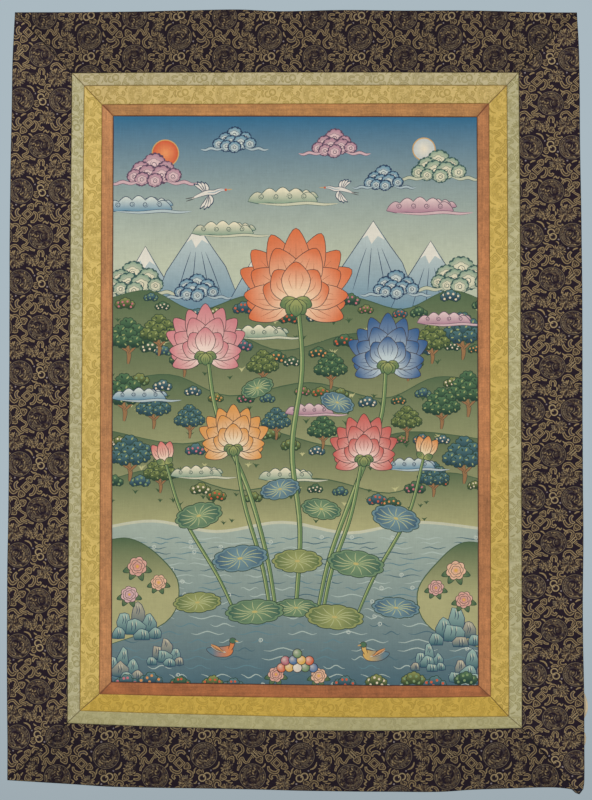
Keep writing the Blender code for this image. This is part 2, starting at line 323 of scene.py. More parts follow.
# %% [markdown]
# ## Figured cloth as one closed sheet
# A woven or painted figure has a crisp edge, so it is best made of real edges in the mesh.
# Each figure is a closed outline laid on a chart, later ones on top of earlier ones. One
# constrained triangulation then cuts the whole sheet along every outline, and each triangle
# takes the colour of the topmost figure over it. This beats a picture on a grid: the edge
# stays sharp at any distance, and plain stretches of cloth cost almost nothing. No bmesh
# operator makes such a cut, so the mesh is written straight from the triangulation.

# %% Curves and brush strokes, in millimetres
def placed(outline, x, y, turn=0, scale=1, flip=False):
    """An outline flipped, scaled, turned by some degrees and moved, in that order."""
    points = np.asarray(outline, float) * scale
    if flip:
        points = points * (-1, 1)
    c, s = math.cos(math.radians(turn)), math.sin(math.radians(turn))
    return points @ np.array([[c, s], [-s, c]]) + (x, y)


def smooth(quads, steps):
    """Smooth steps from the second to the third of each four points in a row."""
    t = (np.arange(steps) / steps)[None, :, None]
    a, b, c, d = (row[:, None, :] for row in quads)
    curve = 2 * b + (c - a) * t + (2 * a - 5 * b + 4 * c - d) * t**2
    curve = curve + (3 * b - a - 3 * c + d) * t**3
    return 0.5 * curve.reshape(-1, 2)


def closed_curve(points, steps=4):
    """A smooth closed outline through a few points."""
    points = np.asarray(points, float)
    return smooth([np.roll(points, shift, 0) for shift in (1, 0, -1, -2)], steps)


def open_curve(points, steps=4):
    """A smooth open line through a few points."""
    p = np.asarray(points, float)
    p = np.vstack([2 * p[0] - p[1], p, 2 * p[-1] - p[-2]])
    return np.vstack([smooth([p[i:len(p) - 3 + i] for i in range(4)], steps), p[-2]])


def brush(points, width, tip=0.25, steps=4):
    """A brush stroke's outline: full width in the middle, narrowing to both ends."""
    line = open_curve(points, steps)
    run = np.gradient(line, axis=0)
    run /= np.maximum(np.linalg.norm(run, axis=1), 1e-9)[:, None]
    side = np.column_stack([-run[:, 1], run[:, 0]])
    swell = np.sin(math.pi * np.linspace(0, 1, len(line))) ** 0.7
    half = 0.5 * width * (tip + (1 - tip) * swell)[:, None]
    return np.vstack([line + side * half, (line - side * half)[::-1]])


print("points in a short stroke:", len(brush([(0, 0), (5, 1), (9, 0)], 1)))


# %% Round outlines, and outlines grown or shrunk
def round_points(reach, angle, flat=1):
    """Points at a reach and an angle from the middle, flattened where flat is under 1."""
    return np.column_stack([reach * np.cos(angle), flat * reach * np.sin(angle)])


def disc(x, y, radius, count=16, flat=1, turn=0):
    """A circle or, with flat under 1, an ellipse turned by some degrees."""
    angle = 2 * math.pi * np.arange(count) / count
    return placed(round_points(radius, angle, flat), x, y, turn)


def scalloped(x, y, radius, lobes, depth=0.2, per_lobe=5, flat=1, turn=0):
    """A round outline of bulging lobes with notches between them, as a cloud or flower has."""
    angle = 2 * math.pi * np.arange(lobes * per_lobe) / (lobes * per_lobe)
    reach = radius * (1 - depth + depth * np.abs(np.sin(0.5 * lobes * angle)) ** 0.8)
    return placed(round_points(reach, angle, flat), x, y, turn)


def coiled(x, y, radius, width, turn=0, flip=False):
    """A brush line that coils inwards for a turn and a half."""
    angle = np.linspace(0, 3 * math.pi, 10)
    reach = radius * (1 - 0.075 * angle)
    return brush(placed(round_points(reach, angle), x, y, turn, 1, flip), width, 0.3, 2)


def signed_area(outline):
    x, y = outline[:, 0], outline[:, 1]
    return 0.5 * float(np.sum(x * np.roll(y, -1) - y * np.roll(x, -1)))


def grown(outline, by):
    """An outline moved outwards by a distance, or inwards where it is negative."""
    run = np.roll(outline, -1, 0) - np.roll(outline, 1, 0)
    run /= np.maximum(np.linalg.norm(run, axis=1), 1e-9)[:, None]
    outwards = np.column_stack([run[:, 1], -run[:, 0]]) * math.copysign(1, signed_area(outline))
    return outline + outwards * by


share = signed_area(disc(0, 0, 1)) / math.pi
print("a circle of 16 corners covers", round(share, 3), "of a true one")

# %% The chart that holds the figures
Ink = namedtuple("Ink", "colour far start end figure", defaults=(None, None, None, 0))


class Chart:
    """Figures in the order in which they are laid, each with its ink."""

    def __init__(self):
        self.outlines = []
        self.inks = []

    def lay(self, outline, ink):
        self.outlines.append(outline)
        self.inks.append(ink)

    def two_strokes(self, points, wide, narrow, tip, steps=4):
        """A stroke with a narrower one on top, each given as its width and its ink."""
        for width, ink in (wide, narrow):
            self.lay(brush(points, width, tip, steps), ink)

    def lined(self, outline, ink, line_ink, width):
        """A figure with a drawn line round it."""
        self.lay(grown(outline, width), line_ink)
        self.lay(outline, ink)


def blend(near, far, start, end):
    """An ink that passes from one colour to another between two points."""
    return Ink(np.array(near), np.array(far), np.array(start, float), np.array(end, float))


def round_blend(middle, rim, centre, radius):
    """An ink that passes from one colour at a centre to another at a radius."""
    return Ink(np.array(middle), np.array(rim), np.array(centre, float), float(radius))


def show(name, draw, *given):
    """Draws a motif on an empty chart and prints how many figures it takes."""
    trial = Chart()
    draw(trial, *given)
    print(f"{name}: {len(trial.outlines)} figures")


TRIAL_DRAWS = np.random.RandomState(1)
show("a lined dot", Chart.lined, disc(0, 0, 2), Ink(np.zeros(3)), Ink(np.ones(3)), 0.5)


# %% Inside or outside, and how far from the edge
def inside(points, outline):
    """Which points lie inside an outline, by counting the edges to their right."""
    x, y = points[:, 0][:, None], points[:, 1][:, None]
    x0, y0 = outline[:, 0], outline[:, 1]
    x1, y1 = np.roll(x0, -1), np.roll(y0, -1)
    crosses = (y0 > y) != (y1 > y)
    with np.errstate(divide="ignore", invalid="ignore"):
        meets = x < (x1 - x0) * (y - y0) / (y1 - y0) + x0
    return np.sum(crosses & meets, axis=1) % 2 == 1


def edge_distance(points, outline):
    """Each point's distance to the nearest edge of an outline."""
    start, run = outline, np.roll(outline, -1, 0) - outline
    length = np.maximum(np.sum(run * run, axis=1), 1e-12)
    nearest = np.full(len(points), 1e9)
    for piece in range(0, len(points), 4000):
        part = points[piece:piece + 4000]
        offset = part[:, None, :] - start[None]
        share = np.clip(np.sum(offset * run, axis=2) / length, 0, 1)
        gap = offset - run[None] * share[..., None]
        nearest[piece:piece + 4000] = np.sqrt(np.min(np.sum(gap * gap, axis=2), axis=1))
    return nearest


small, large = disc(0, 0, 1), disc(0, 0, 3)
print("a small dot inside a large one:", bool(inside(small, large).all()))
print("between their edges:", round(float(edge_distance(small, large).min()), 1), "mm")

# %% [markdown]
# ### Cutting a sheet along its figures
# The cut takes two passes. The first is laid along every outline and tells which figure is
# on top where. Lines that other figures cover, or that part two figures of one colour, are
# then dropped, and the second pass is laid along what is left, with an even grid between.

# %% Points and figures for the cut
GRID_STEP = 14
GRID_CLEAR = 2
BACK_GRID_STEP = 30
BACK_GRID_CLEAR = 4
EDGE_GUIDES = (0.45, 1.1, 2.2, 4.2)
CDT_CLOSENESS = 0.002
OUTSIDE = -1


def grid_inside(outline, step, clear):
    """Points of an even grid that lie inside an outline and clear of its edge."""
    low, high = outline.min(0), outline.max(0)
    columns = np.arange(low[0] + 0.5 * step, high[0], step)
    rows = np.arange(low[1] + 0.5 * step, high[1], step)
    grid = np.array([(x, y) for x in columns for y in rows])
    grid = grid[inside(grid, outline)]
    return grid[edge_distance(grid, outline) > clear]


def figures_over(outline, chart):
    """The chart's figures that touch a sheet, wound one way, and their inks."""
    low, high = outline.min(0), outline.max(0)
    figures, inks = [], []
    for figure, ink in zip(chart.outlines, chart.inks):
        if (figure.max(0) < low).any() or (figure.min(0) > high).any():
            continue
        if inside(figure, outline).any() or inside(outline, figure).any():
            figures.append(figure if signed_area(figure) > 0 else figure[::-1])
            inks.append(ink)
    return figures, inks


def triangulated(points, lines, faces):
    """One constrained triangulation of points, fixed lines and fixed faces."""
    return delaunay_2d_cdt([Vector(point) for point in points], lines, faces, 0, CDT_CLOSENESS, True)


print("grid points in a dot 60 mm across:", len(grid_inside(disc(0, 0, 30), GRID_STEP, GRID_CLEAR)))

# %% Which figure is on top
SPILL_SHARE = 1.02
SPILL_ROOM = 1


def topmost(places, triangles, covering, figures):
    """The topmost figure over each triangle, without any figure that spills past its own box."""
    a, b, c = (places[triangles[:, i]] for i in range(3))
    areas = 0.5 * ((b - a)[:, 0] * (c - a)[:, 1] - (b - a)[:, 1] * (c - a)[:, 0])
    counts = np.array([len(over) for over in covering])
    flat = np.array([i for over in covering for i in over], dtype=int)
    covered = np.bincount(flat, np.repeat(areas, counts), len(figures))
    room = np.array([np.prod(figure.max(0) - figure.min(0)) for figure in figures])
    spilt = covered > SPILL_SHARE * room + SPILL_ROOM
    if spilt[1:].any():
        print("  outlines that cross themselves and are left out:", int(spilt[1:].sum()))
    flat[spilt[flat]] = OUTSIDE
    tops = np.full(len(covering), OUTSIDE)
    some = counts > 0
    starts = np.concatenate([[0], np.cumsum(counts[some])[:-1]])
    tops[some] = np.maximum.reduceat(flat, starts)
    lowest = np.full(len(covering), len(figures))
    lowest[some] = np.minimum.reduceat(np.where(flat == OUTSIDE, len(figures), flat), starts)
    return np.where(lowest == 0, tops, OUTSIDE)


def side_labels(triangles, tops):
    """For each edge, taken in its direction round a triangle, the figure on its left."""
    labels = {}
    for (a, b, c), top in zip(triangles, tops):
        labels[a, b] = labels[b, c] = labels[c, a] = top
    return labels


def merged(inks, ground):
    """For each figure the first one in the same flat ink, so that no edge is cut between them."""
    first = {(*np.round(ground, 6), 0): 0}
    same = [0]
    for index, ink in enumerate(inks, 1):
        key = index if ink.far is not None else (*np.round(ink.colour, 6), ink.figure)
        same.append(first.setdefault(key, index))
    return np.array(same)


two_alike = [Ink(np.zeros(3)), Ink(np.zeros(3))]
print("two inks alike count as one:", merged(two_alike, np.ones(3)).tolist())


# %% The lines to keep, and the figure of every triangle
def cutting_plan(outline, figures):
    """All that the first pass cuts along: figures as faces, edge guides as lines."""
    points, faces, guides = [], [], []
    count = 0
    for figure in figures:
        points.append(figure)
        faces.append(list(range(count, count + len(figure))))
        count += len(figure)
    for inset in EDGE_GUIDES:
        points.append(grown(outline, -inset))
        guides += [(count + i, count + (i + 1) % len(outline)) for i in range(len(outline))]
        count += len(outline)
    return np.vstack(points), guides, faces


def kept_lines(found, tops, guides):
    """The first pass's edges that still show, and the figure on each side of them."""
    labels = side_labels(found[2], tops)
    on_guide = {
        tuple(edge) for edge, ids in zip(found[1], found[4]) if any(i < len(guides) for i in ids)
    }
    kept, sides = [], []
    for a, b in found[1]:
        left, right = labels.get((a, b), OUTSIDE), labels.get((b, a), OUTSIDE)
        if left != right or (a, b) in on_guide:
            kept.append((a, b))
            sides.append((left, right))
    return np.array(kept), sides


def loose_points(outline, inks):
    """Points between the lines: an even grid, and a few in each round blend."""
    loose = [grid_inside(outline, GRID_STEP, EDGE_GUIDES[-1] + GRID_CLEAR)]
    for ink in inks:
        if ink.far is not None and np.ndim(ink.end) == 0:
            loose.append(disc(*ink.start, 0.5 * ink.end, 7))
            loose.append(ink.start[None])
    loose = np.vstack(loose)
    loose = loose[inside(loose, outline)]
    return loose[edge_distance(loose, outline) > EDGE_GUIDES[-1]]


def known_sides(found, spots, lines, sides):
    """The figure on the left of each edge of the second pass that lies on a kept line."""
    places = np.array([tuple(point) for point in found[0]])
    known = {}
    for (a, b), ids in zip(found[1], found[4]):
        for i in ids:
            start, end = spots[lines[i][0]], spots[lines[i][1]]
            same_way = (places[b] - places[a]) @ (end - start) > 0
            left, right = sides[i] if same_way else sides[i][::-1]
            known[a, b], known[b, a] = left, right
    return places, known


def spread_labels(triangles, known):
    """Gives each triangle its figure, carried inwards from the edges whose figures are known."""
    owner = {}
    for index, (a, b, c) in enumerate(triangles):
        owner[a, b] = owner[b, c] = owner[c, a] = index
    top = np.full(len(triangles), OUTSIDE)
    reached = []
    for index, (a, b, c) in enumerate(triangles):
        for edge in ((a, b), (b, c), (c, a)):
            if edge in known:
                top[index] = known[edge]
                reached.append(index)
                break
    settled = np.zeros(len(triangles), dtype=bool)
    settled[reached] = True
    while reached:
        index = reached.pop()
        a, b, c = triangles[index]
        for edge in ((a, b), (b, c), (c, a)):
            neighbour = owner.get(edge[::-1])
            if edge not in known and neighbour is not None and not settled[neighbour]:
                settled[neighbour] = True
                top[neighbour] = top[index]
                reached.append(neighbour)
    return top


def cut_sheet(outline, chart, ground):
    """Triangulates a sheet along its outline, its edge guides and what shows of its figures."""
    if signed_area(outline) < 0:
        outline = outline[::-1]
    figures, inks = figures_over(outline, chart)
    figures.insert(0, outline)
    points, guides, faces = cutting_plan(outline, figures)
    found = triangulated(points, guides, faces)
    places = np.array([tuple(point) for point in found[0]])
    tops = topmost(places, np.array(found[2]), found[5], figures)
    tops = np.where(tops == OUTSIDE, OUTSIDE, merged(inks, ground)[tops]).tolist()
    lines, sides = kept_lines(found, tops, guides)
    used, lines = np.unique(lines, return_inverse=True)
    lines = lines.reshape(-1, 2)
    spots = np.vstack([places[used], loose_points(outline, inks)])
    found = triangulated(spots, lines.tolist(), [])
    places, known = known_sides(found, spots, lines, sides)
    top = spread_labels(found[2], known)
    inner = top != OUTSIDE
    return places, np.array(found[2])[inner], top[inner], [None] + inks


trial = Chart()
trial.lay(disc(0, 0, 10), Ink(np.ones(3)))
print("triangles in a dot on a dot:", len(cut_sheet(disc(0, 0, 30, 40), trial, np.zeros(3))[1]))


# %% The colour at each triangle's corners
def corner_colours(places, triangles, top, inks, ground):
    """The colour of each triangle's corners, from the topmost ink over it."""
    colours = np.ones((len(triangles), 3, 4))
    colours[..., :3] = ground
    colours[..., 3] = 0
    order = np.argsort(top, kind="stable")
    starts = np.searchsorted(top[order], np.arange(len(inks) + 1))
    for index in range(1, len(inks)):
        members = order[starts[index]:starts[index + 1]]
        if len(members) == 0:
            continue
        ink = inks[index]
        colours[members, :, 3] = ink.figure
        if ink.far is None:
            colours[members, :, :3] = ink.colour
            continue
        spots = places[triangles[members]]
        if np.ndim(ink.end) == 0:
            share = np.linalg.norm(spots - ink.start, axis=2) / ink.end
        else:
            run = ink.end - ink.start
            share = (spots - ink.start) @ run / (run @ run)
        share = np.clip(share, 0, 1)[..., None]
        colours[members, :, :3] = ink.colour + (ink.far - ink.colour) * share
    return colours


shown = corner_colours(np.zeros((3, 2)), np.array([[0, 1, 2]]), np.array([0]), [None], np.ones(3))
print("a bare triangle takes the ground:", shown[0, 0].tolist())

# %% [markdown]
# ### Closing the sheet
# A cut sheet is only a face. A sewn strip also has thickness and an edge that turns down
# into the seam, beside which the cloth swells a little. So the face dips at its edge, a
# coarse back is cut from the same rim, and a wall joins the two, which closes the piece.

# %% The seam's shape
# How deep the edge turns down, over what width, how high the cloth swells beside it, the
# dark line of painted shade where the two edges meet, with its width and its colours along it
# and on a mitre, and how strongly the painted shadow in the seam shows.
Seam = namedtuple("Seam", "dip roll lip width line mitre shadow", defaults=(1,))
LIP_PLACE = 3.4
LIP_REACH = 1.6


def seam_shape(places, outline, seam):
    """Each place's distance to the edge, how far it rolls into the seam, and its dip."""
    closeness = edge_distance(places, outline)
    lip = seam.lip * np.exp(-(((closeness - LIP_PLACE) / LIP_REACH) ** 2))
    roll = np.exp(-((closeness / seam.roll) ** 2))
    return closeness, roll, seam.dip * roll - lip


def hanging_depth(places, behind):
    """The depth of the hanging surface, or of a piece that hangs some way behind it."""
    depth = relief(places[:, 0], places[:, 1])
    return depth if behind is None else depth + behind(places[:, 1])


print("the swell beside a seam peaks", LIP_PLACE, "mm from the edge")


# %% The back, and the layers that the materials read
def boundary_loop(triangles):
    """The sheet's outer loop of vertices, with the cloth on its left."""
    pairs = np.vstack([triangles[:, [0, 1]], triangles[:, [1, 2]], triangles[:, [2, 0]]])
    known = set(map(tuple, pairs.tolist()))
    following = {a: b for a, b in known if (b, a) not in known}
    loop = [next(iter(following))]
    while following[loop[-1]] != loop[0]:
        loop.append(following[loop[-1]])
    return loop


def back_of(rim, thickness, behind):
    """The plain back: the face's own rim filled with a coarse grid, facing the other way."""
    flat = np.vstack([rim, grid_inside(rim, BACK_GRID_STEP, BACK_GRID_CLEAR)])
    found = triangulated(flat, [], [list(range(len(rim)))])
    source = np.array([min(ids) if ids else OUTSIDE for ids in found[3]])
    triangles = [source[list(corners)][::-1] for corners, ids in zip(found[2], found[5]) if ids]
    depth = hanging_depth(flat, behind) + 0.5 * thickness
    return flat, np.column_stack([flat[:, 0], depth, flat[:, 1]]), np.array(triangles)


def face_colours(places, triangles, top, inks, ground, closeness, seam, mitres):
    """The face's ink at every corner, with the dark lines of painted shade along its seams and mitres."""
    front = corner_colours(places, triangles, top, inks, ground)
    front[closeness[triangles].mean(axis=1) < seam.width, :, :3] = seam.line
    for mitre in mitres:
        near = edge_distance(places, mitre)[triangles].mean(axis=1) < seam.width
        front[near, :, :3] = seam.mitre
    return front.reshape(-1, 4)


def store_layers(mesh, colours, crease, flat):
    """Keeps the inks, the seam's shadow and the flat cloth's own map on the mesh."""
    mesh.color_attributes.new("ink", "FLOAT_COLOR", "CORNER").data.foreach_set("color", colours.ravel())
    mesh.attributes.new("crease", "FLOAT", "POINT").data.foreach_set("value", crease)
    corner_vertex = np.zeros(len(mesh.loops), dtype=int)
    mesh.loops.foreach_get("vertex_index", corner_vertex)
    mesh.uv_layers.new(name="cloth").data.foreach_set("uv", flat[corner_vertex].ravel())


print("layers on each sheet: ink, crease and cloth")

# %% Face, wall and back as one piece
SHARP_EDGE = math.radians(55)


def close_sheet(name, outline, chart, dyes, thickness, turned, materials, seam, mitres=(), behind=None):
    """Builds one closed cloth from the chart of its face, its edge turned down into the seam."""
    ground, back_ground = dyes
    places, triangles, top, inks = cut_sheet(outline, chart, ground)
    used, triangles = np.unique(triangles, return_inverse=True)
    triangles = triangles.reshape(-1, 3)
    places = places[used]
    loop = np.array(boundary_loop(triangles))
    closeness, roll, dip = seam_shape(places, outline, seam)
    depth = hanging_depth(places, behind) - 0.5 * thickness + dip
    face = np.column_stack([places[:, 0], depth, places[:, 1]])
    back_flat, back, back_triangles = back_of(places[loop], thickness, behind)
    step = np.arange(len(loop))
    after = (step + 1) % len(loop)
    walls = np.column_stack([loop[step], len(face) + step, len(face) + after, loop[after]])

    mesh = bpy.data.meshes.new(name)
    polygons = triangles.tolist() + (back_triangles + len(face)).tolist() + walls.tolist()
    mesh.from_pydata((np.vstack([face, back]) * MM).tolist(), [], polygons)
    mesh.update()
    front = face_colours(places, triangles, top, inks, ground, closeness, seam, mitres)
    back_corners = 3 * len(back_triangles)
    colours = np.zeros((len(mesh.loops), 4))
    colours[:, :3] = ground
    colours[:len(front)] = front
    colours[len(front):len(front) + back_corners, :3] = back_ground
    flat = np.vstack([places, back_flat]) * MM
    # The painted shade in the seam, strongest at the edge.
    crease = np.concatenate([seam.shadow * roll, np.zeros(len(back))])
    store_layers(mesh, colours, crease, flat[:, ::-1] if turned else flat)
    for material in materials:
        mesh.materials.append(material)
    slots = np.zeros(len(polygons), dtype=np.int32)
    slots[len(triangles):len(triangles) + len(back_triangles)] = 1
    mesh.polygons.foreach_set("material_index", slots)
    mesh.shade_smooth()
    mesh.set_sharp_from_angle(angle=SHARP_EDGE)
    sheet = bpy.data.objects.new(name, mesh)
    scene.collection.objects.link(sheet)
    print(f"{name}: {len(triangles) + len(back_triangles) + 2 * len(walls)} triangles")
    return sheet


print("an edge sharper than", round(math.degrees(SHARP_EDGE)), "degrees stays crisp")

# %% [markdown]
# ## Threads, wear and the cloths' finishes
# All these cloths share a few effects, so each is a node group built once: a plain weave
# that gives height and shade, with slubs along its threads, and slow changes of tone from
# dye, handling and dust, which on the green silk also paint pale patches of sheen. The groups
# give out only values. The shader, with its sheen, stays in each material, and each cloth
# sets its own thread count and depth.

# %% Plain weave
SLUB_ALONG = 0.04
SLUB_ACROSS = 0.9


def new_group(name, inputs, outputs):
    """An empty node group with its named sockets, and its two end nodes."""
    group = bpy.data.node_groups.new(name, "ShaderNodeTree")
    for label, kind, value in inputs:
        socket = group.interface.new_socket(label, in_out="INPUT", socket_type=kind)
        if value is not None:
            socket.default_value = value
    for label in outputs:
        group.interface.new_socket(label, in_out="OUTPUT", socket_type="NodeSocketFloat")
    return group, group.nodes.new("NodeGroupInput").outputs, group.nodes.new("NodeGroupOutput").inputs


def noise_at(tree, place, scale, detail, stretch=(1, 1, 1)):
    """Soft noise read at a place that is stretched first."""
    place = node(tree, "Mapping", {0: place, 3: stretch}).outputs[0]
    return node(tree, "TexNoise", {"Vector": place, "Scale": scale, "Detail": detail}).outputs[0]


def make_weave_group():
    """Plain weave: warp and weft pass over and under, and each thread is a little uneven."""
    group, given, out = new_group(
        "plain_weave",
        [("Place", "NodeSocketVector", None), ("Threads", "NodeSocketFloat", 700),
         ("Unevenness", "NodeSocketFloat", 0.5)],
        ["Height", "Shade"],
    )
    count = {0: given["Place"], "Scale": given["Threads"]}
    thread = node(group, "VectorMath", count, operation="SCALE").outputs[0]
    parts = node(group, "SeparateXYZ", {0: thread}).outputs
    warp = maths(group, "SINE", maths(group, "MULTIPLY", parts["X"], math.pi))
    weft = maths(group, "SINE", maths(group, "MULTIPLY", parts["Y"], math.pi))
    crossing = maths(group, "MULTIPLY", warp, weft)
    height = maths(group, "MULTIPLY_ADD", crossing, 0.5, 0.5)
    weft_slubs = noise_at(group, thread, 1, 2, (SLUB_ALONG, SLUB_ACROSS, 1))
    warp_slubs = noise_at(group, thread, 1, 2, (SLUB_ACROSS, SLUB_ALONG, 1))
    uneven = maths(group, "SUBTRACT", maths(group, "ADD", weft_slubs, warp_slubs), 1)
    group.links.new(maths(group, "MULTIPLY_ADD", uneven, given["Unevenness"], height), out["Height"])
    shade = maths(group, "MULTIPLY_ADD", crossing, 0.05, 1)
    depth = maths(group, "MULTIPLY", given["Unevenness"], 0.35)
    group.links.new(maths(group, "MULTIPLY_ADD", uneven, depth, shade), out["Shade"])
    return group


weave_group = make_weave_group()
print("plain_weave has", len(weave_group.nodes), "nodes")


# %% Handled tone
def make_tone_group():
    """Slow changes of tone from dye and handling, also used as painted patches of sheen, fine speckle, and
    streaks along the strip.
    """
    group, given, out = new_group(
        "handled_tone_and_sheen",
        [("Place", "NodeSocketVector", None), ("Amount", "NodeSocketFloat", 0.06),
         ("Speckle", "NodeSocketFloat", 0.1), ("Streaks", "NodeSocketFloat", 0.05)],
        ["Tone", "Patch"],
    )

    def grain(scale, detail, stretch=(1, 1, 1)):
        return maths(group, "SUBTRACT", noise_at(group, given["Place"], scale, detail, stretch), 0.5)

    slow = maths(group, "ADD", maths(group, "ADD", grain(5, 3), grain(40, 3)), grain(130, 2))
    tone = maths(group, "MULTIPLY_ADD", slow, given["Amount"], 1)
    tone = maths(group, "MULTIPLY_ADD", grain(420, 2), given["Speckle"], tone)
    tone = maths(group, "MULTIPLY_ADD", grain(300, 2, (0.03, 1, 1)), given["Streaks"], tone)
    group.links.new(tone, out["Tone"])
    patch = {0: grain(90, 2), 1: -0.16, 2: 0.12, 3: 0.35, 4: 1}
    group.links.new(node(group, "MapRange", patch).outputs[0], out["Patch"])
    return group


tone_group = make_tone_group()
print("handled_tone_and_sheen has", len(tone_group.nodes), "nodes")

# %% A cloth's finish, from its inks to its shader
BUMP_STRENGTH = 0.7
SHEEN_ROUGHNESS = 0.4
# Two of a cloth's traits give the painted shade in its seams: its colour and how strongly it shows.
Cloth = namedtuple(
    "Cloth",
    "name threads unevenness bump tone speckle streaks crease crease_strength rough figure_rough"
    " sheen specular",
)


def cloth_material(*traits):
    """A cloth's face: ink colours, weave, slow tone and painted shade in its seams, over a soft shader."""
    cloth = Cloth(*traits)
    material = bpy.data.materials.new(cloth.name)
    material.use_nodes = True
    tree = material.node_tree
    shader = tree.nodes["Principled BSDF"]
    place = node(tree, "UVMap", uv_map="cloth").outputs[0]
    ink = node(tree, "Attribute", attribute_name="ink").outputs
    crease = node(tree, "Attribute", attribute_name="crease").outputs["Fac"]
    weave = node(tree, "Group", node_tree=weave_group)
    tone = node(tree, "Group", node_tree=tone_group)
    for group, values in (
        (weave, {"Threads": cloth.threads, "Unevenness": cloth.unevenness}),
        (tone, {"Amount": cloth.tone, "Speckle": cloth.speckle, "Streaks": cloth.streaks}),
    ):
        tree.links.new(place, group.inputs["Place"])
        for label, value in values.items():
            group.inputs[label].default_value = value
    factor = maths(tree, "MULTIPLY", weave.outputs["Shade"], tone.outputs["Tone"])
    dyed_thread = {0: ink["Color"], "Scale": factor}
    shaded = node(tree, "VectorMath", dyed_thread, operation="SCALE").outputs[0]
    # Painted shade in the seams: the seam mask, broken into patches, mixes the colour towards a dark shade
    # colour.
    patchy_seam_shade = maths(tree, "MULTIPLY", crease, tone.outputs["Patch"])
    depth = maths(tree, "MULTIPLY", patchy_seam_shade, cloth.crease_strength)
    shadowed = {0: depth, 6: shaded, 7: (*cloth.crease, 1)}
    colour = node(tree, "Mix", shadowed, data_type="RGBA").outputs[2]
    tree.links.new(colour, shader.inputs["Base Color"])
    rough = {0: ink["Alpha"], 3: cloth.rough, 4: cloth.figure_rough}
    tree.links.new(node(tree, "MapRange", rough).outputs[0], shader.inputs["Roughness"])
    threads = {"Strength": BUMP_STRENGTH, "Distance": cloth.bump, "Height": weave.outputs["Height"]}
    tree.links.new(node(tree, "Bump", threads).outputs[0], shader.inputs["Normal"])
    shader.inputs["Sheen Weight"].default_value = cloth.sheen
    shader.inputs["Sheen Roughness"].default_value = SHEEN_ROUGHNESS
    shader.inputs["Specular IOR Level"].default_value = cloth.specular
    return material


print("what a cloth is told by:", ", ".join(Cloth._fields))

# %% One finish for each cloth
# In each row the dark colour after the streaks is the painted shade in the cloth's seams.
PAINTED_FACE = cloth_material(
    "painted_face", 900, 0.5, 0.00012, 0.12, 0.10, 0.03, srgb(70, 48, 44), 0.5, 0.8, 0.6, 0, 0.25,
)
DARK_FACE = cloth_material(
    "dark_brocade_face", 1400, 0.6, 0.00012, 0.2, 0.9, 0.10, srgb(14, 10, 14), 0.9, 0.8, 0.6, 0.02, 0.12,
)
YELLOW_FACE = cloth_material(
    "yellow_brocade_face", 1300, 0.5, 0.0001, 0.2, 0.34, 0.06, srgb(120, 92, 40), 0.7, 0.5, 0.66,
    0.08, 0.3,
)
# The green's stronger slow tone also paints pale patches of sheen.
GREEN_FACE = cloth_material(
    "green_brocade_face", 1300, 0.5, 0.0001, 0.26, 0.32, 0.06, srgb(104, 92, 54), 0.7, 0.5, 0.66,
    0.08, 0.3,
)
ORANGE_FACE = cloth_material(
    "orange_silk_face", 900, 1.1, 0.00014, 0.62, 0.7, 0.6, srgb(118, 66, 34), 0.7, 0.62, 0.62, 0.08, 0.3,
)
RIBBON_FACE = cloth_material(
    "ribbon_silk_face", 900, 0.8, 0.00014, 0.14, 0.12, 0.2, srgb(150, 118, 70), 0.4, 0.5, 0.5, 0.15, 0.4,
)
PAINTED_BACK = cloth_material(
    "raw_cotton_back", 800, 0.9, 0.0002, 0.2, 0.16, 0.05, srgb(110, 96, 74), 0.5, 0.9, 0.9, 0.05, 0.2,
)
SILK_BACK = cloth_material(
    "silk_back", 1000, 1.2, 0.0002, 0.2, 0.2, 0.12, srgb(40, 34, 30), 0.5, 0.8, 0.8, 0.1, 0.25,
)
print("materials, the floor's included:", len(bpy.data.materials))

# %% [markdown]
# ## The dark brocade
# The border silk repeats a small chart: two kinds of row take turns along the cloth. One row
# sets round medallions between looped knots, the other sets them between pairs of linked
# rings. Between the rows lie a flower head, a pine spray, a lozenge and a leafy sprig, each
# with its cloud lobes. The chart is drawn once and laid again and again. On the top and
# bottom strips the same cloth is turned by a quarter, as it was cut.

# %% Threads of the dark brocade
GROUND = srgb(35, 24, 34)
GOLD = Ink(srgb(145, 123, 88), figure=1)
PALE_GOLD = Ink(srgb(163, 141, 103), figure=1)
KHAKI = Ink(srgb(112, 97, 77), figure=0.8)
BROWN = Ink(srgb(65, 51, 43), figure=0.5)
RUST = Ink(srgb(97, 79, 60), figure=0.6)
DUSK = Ink(srgb(64, 54, 56), figure=0.5)
HOLE = Ink(GROUND)
WHITE_DOT = Ink(srgb(134, 122, 122), figure=0.8)
TUFT_INKS = (GOLD, KHAKI, GOLD, HOLE, KHAKI, RUST)
MEDALLION_INKS = (KHAKI, RUST, HOLE, GOLD, KHAKI, DUSK, DUSK)
contrast = float(GOLD.colour.mean() / GROUND.mean())
print("the gold thread is", round(contrast, 1), "times as bright as the ground")


# %% Lobes, hooks and tufts
def lobe(chart, x, y, radius, turn=0, fill=BROWN):
    """A cloud lobe: a trefoil in a gold line with a small coil inside."""
    angle = 2 * math.pi * np.arange(18) / 18
    reach = radius * (1 + 0.14 * np.cos(3 * angle))
    outline = placed(round_points(reach, angle), x, y, turn)
    chart.lay(grown(outline, 1.3), HOLE)
    chart.lay(outline, GOLD)
    chart.lay(grown(outline, -1.3), fill)
    hook = [(-0.4, 0.3), (0.2, 0.4), (0.4, -0.1), (0, -0.3)]
    chart.lay(brush(placed(hook, x, y, turn, radius), 1.1, 0.5, 2), GOLD)


def curl(chart, x, y, points, width=4.6, fill=BROWN):
    """A ribbon or hook: a gold line all round a brown heart."""
    line = open_curve(placed(points, x, y), 3)
    chart.lay(brush(line, width + 2.2, 0.75, 1), HOLE)
    chart.lay(brush(line, width, 0.7, 1), GOLD)
    chart.lay(brush(line[1:-1], width - 2.7, 0.6, 1), fill)


def ribbon_line(chart, x, y, points, width=1.9):
    chart.lay(brush(placed(points, x, y), width, 0.4, 3), GOLD)


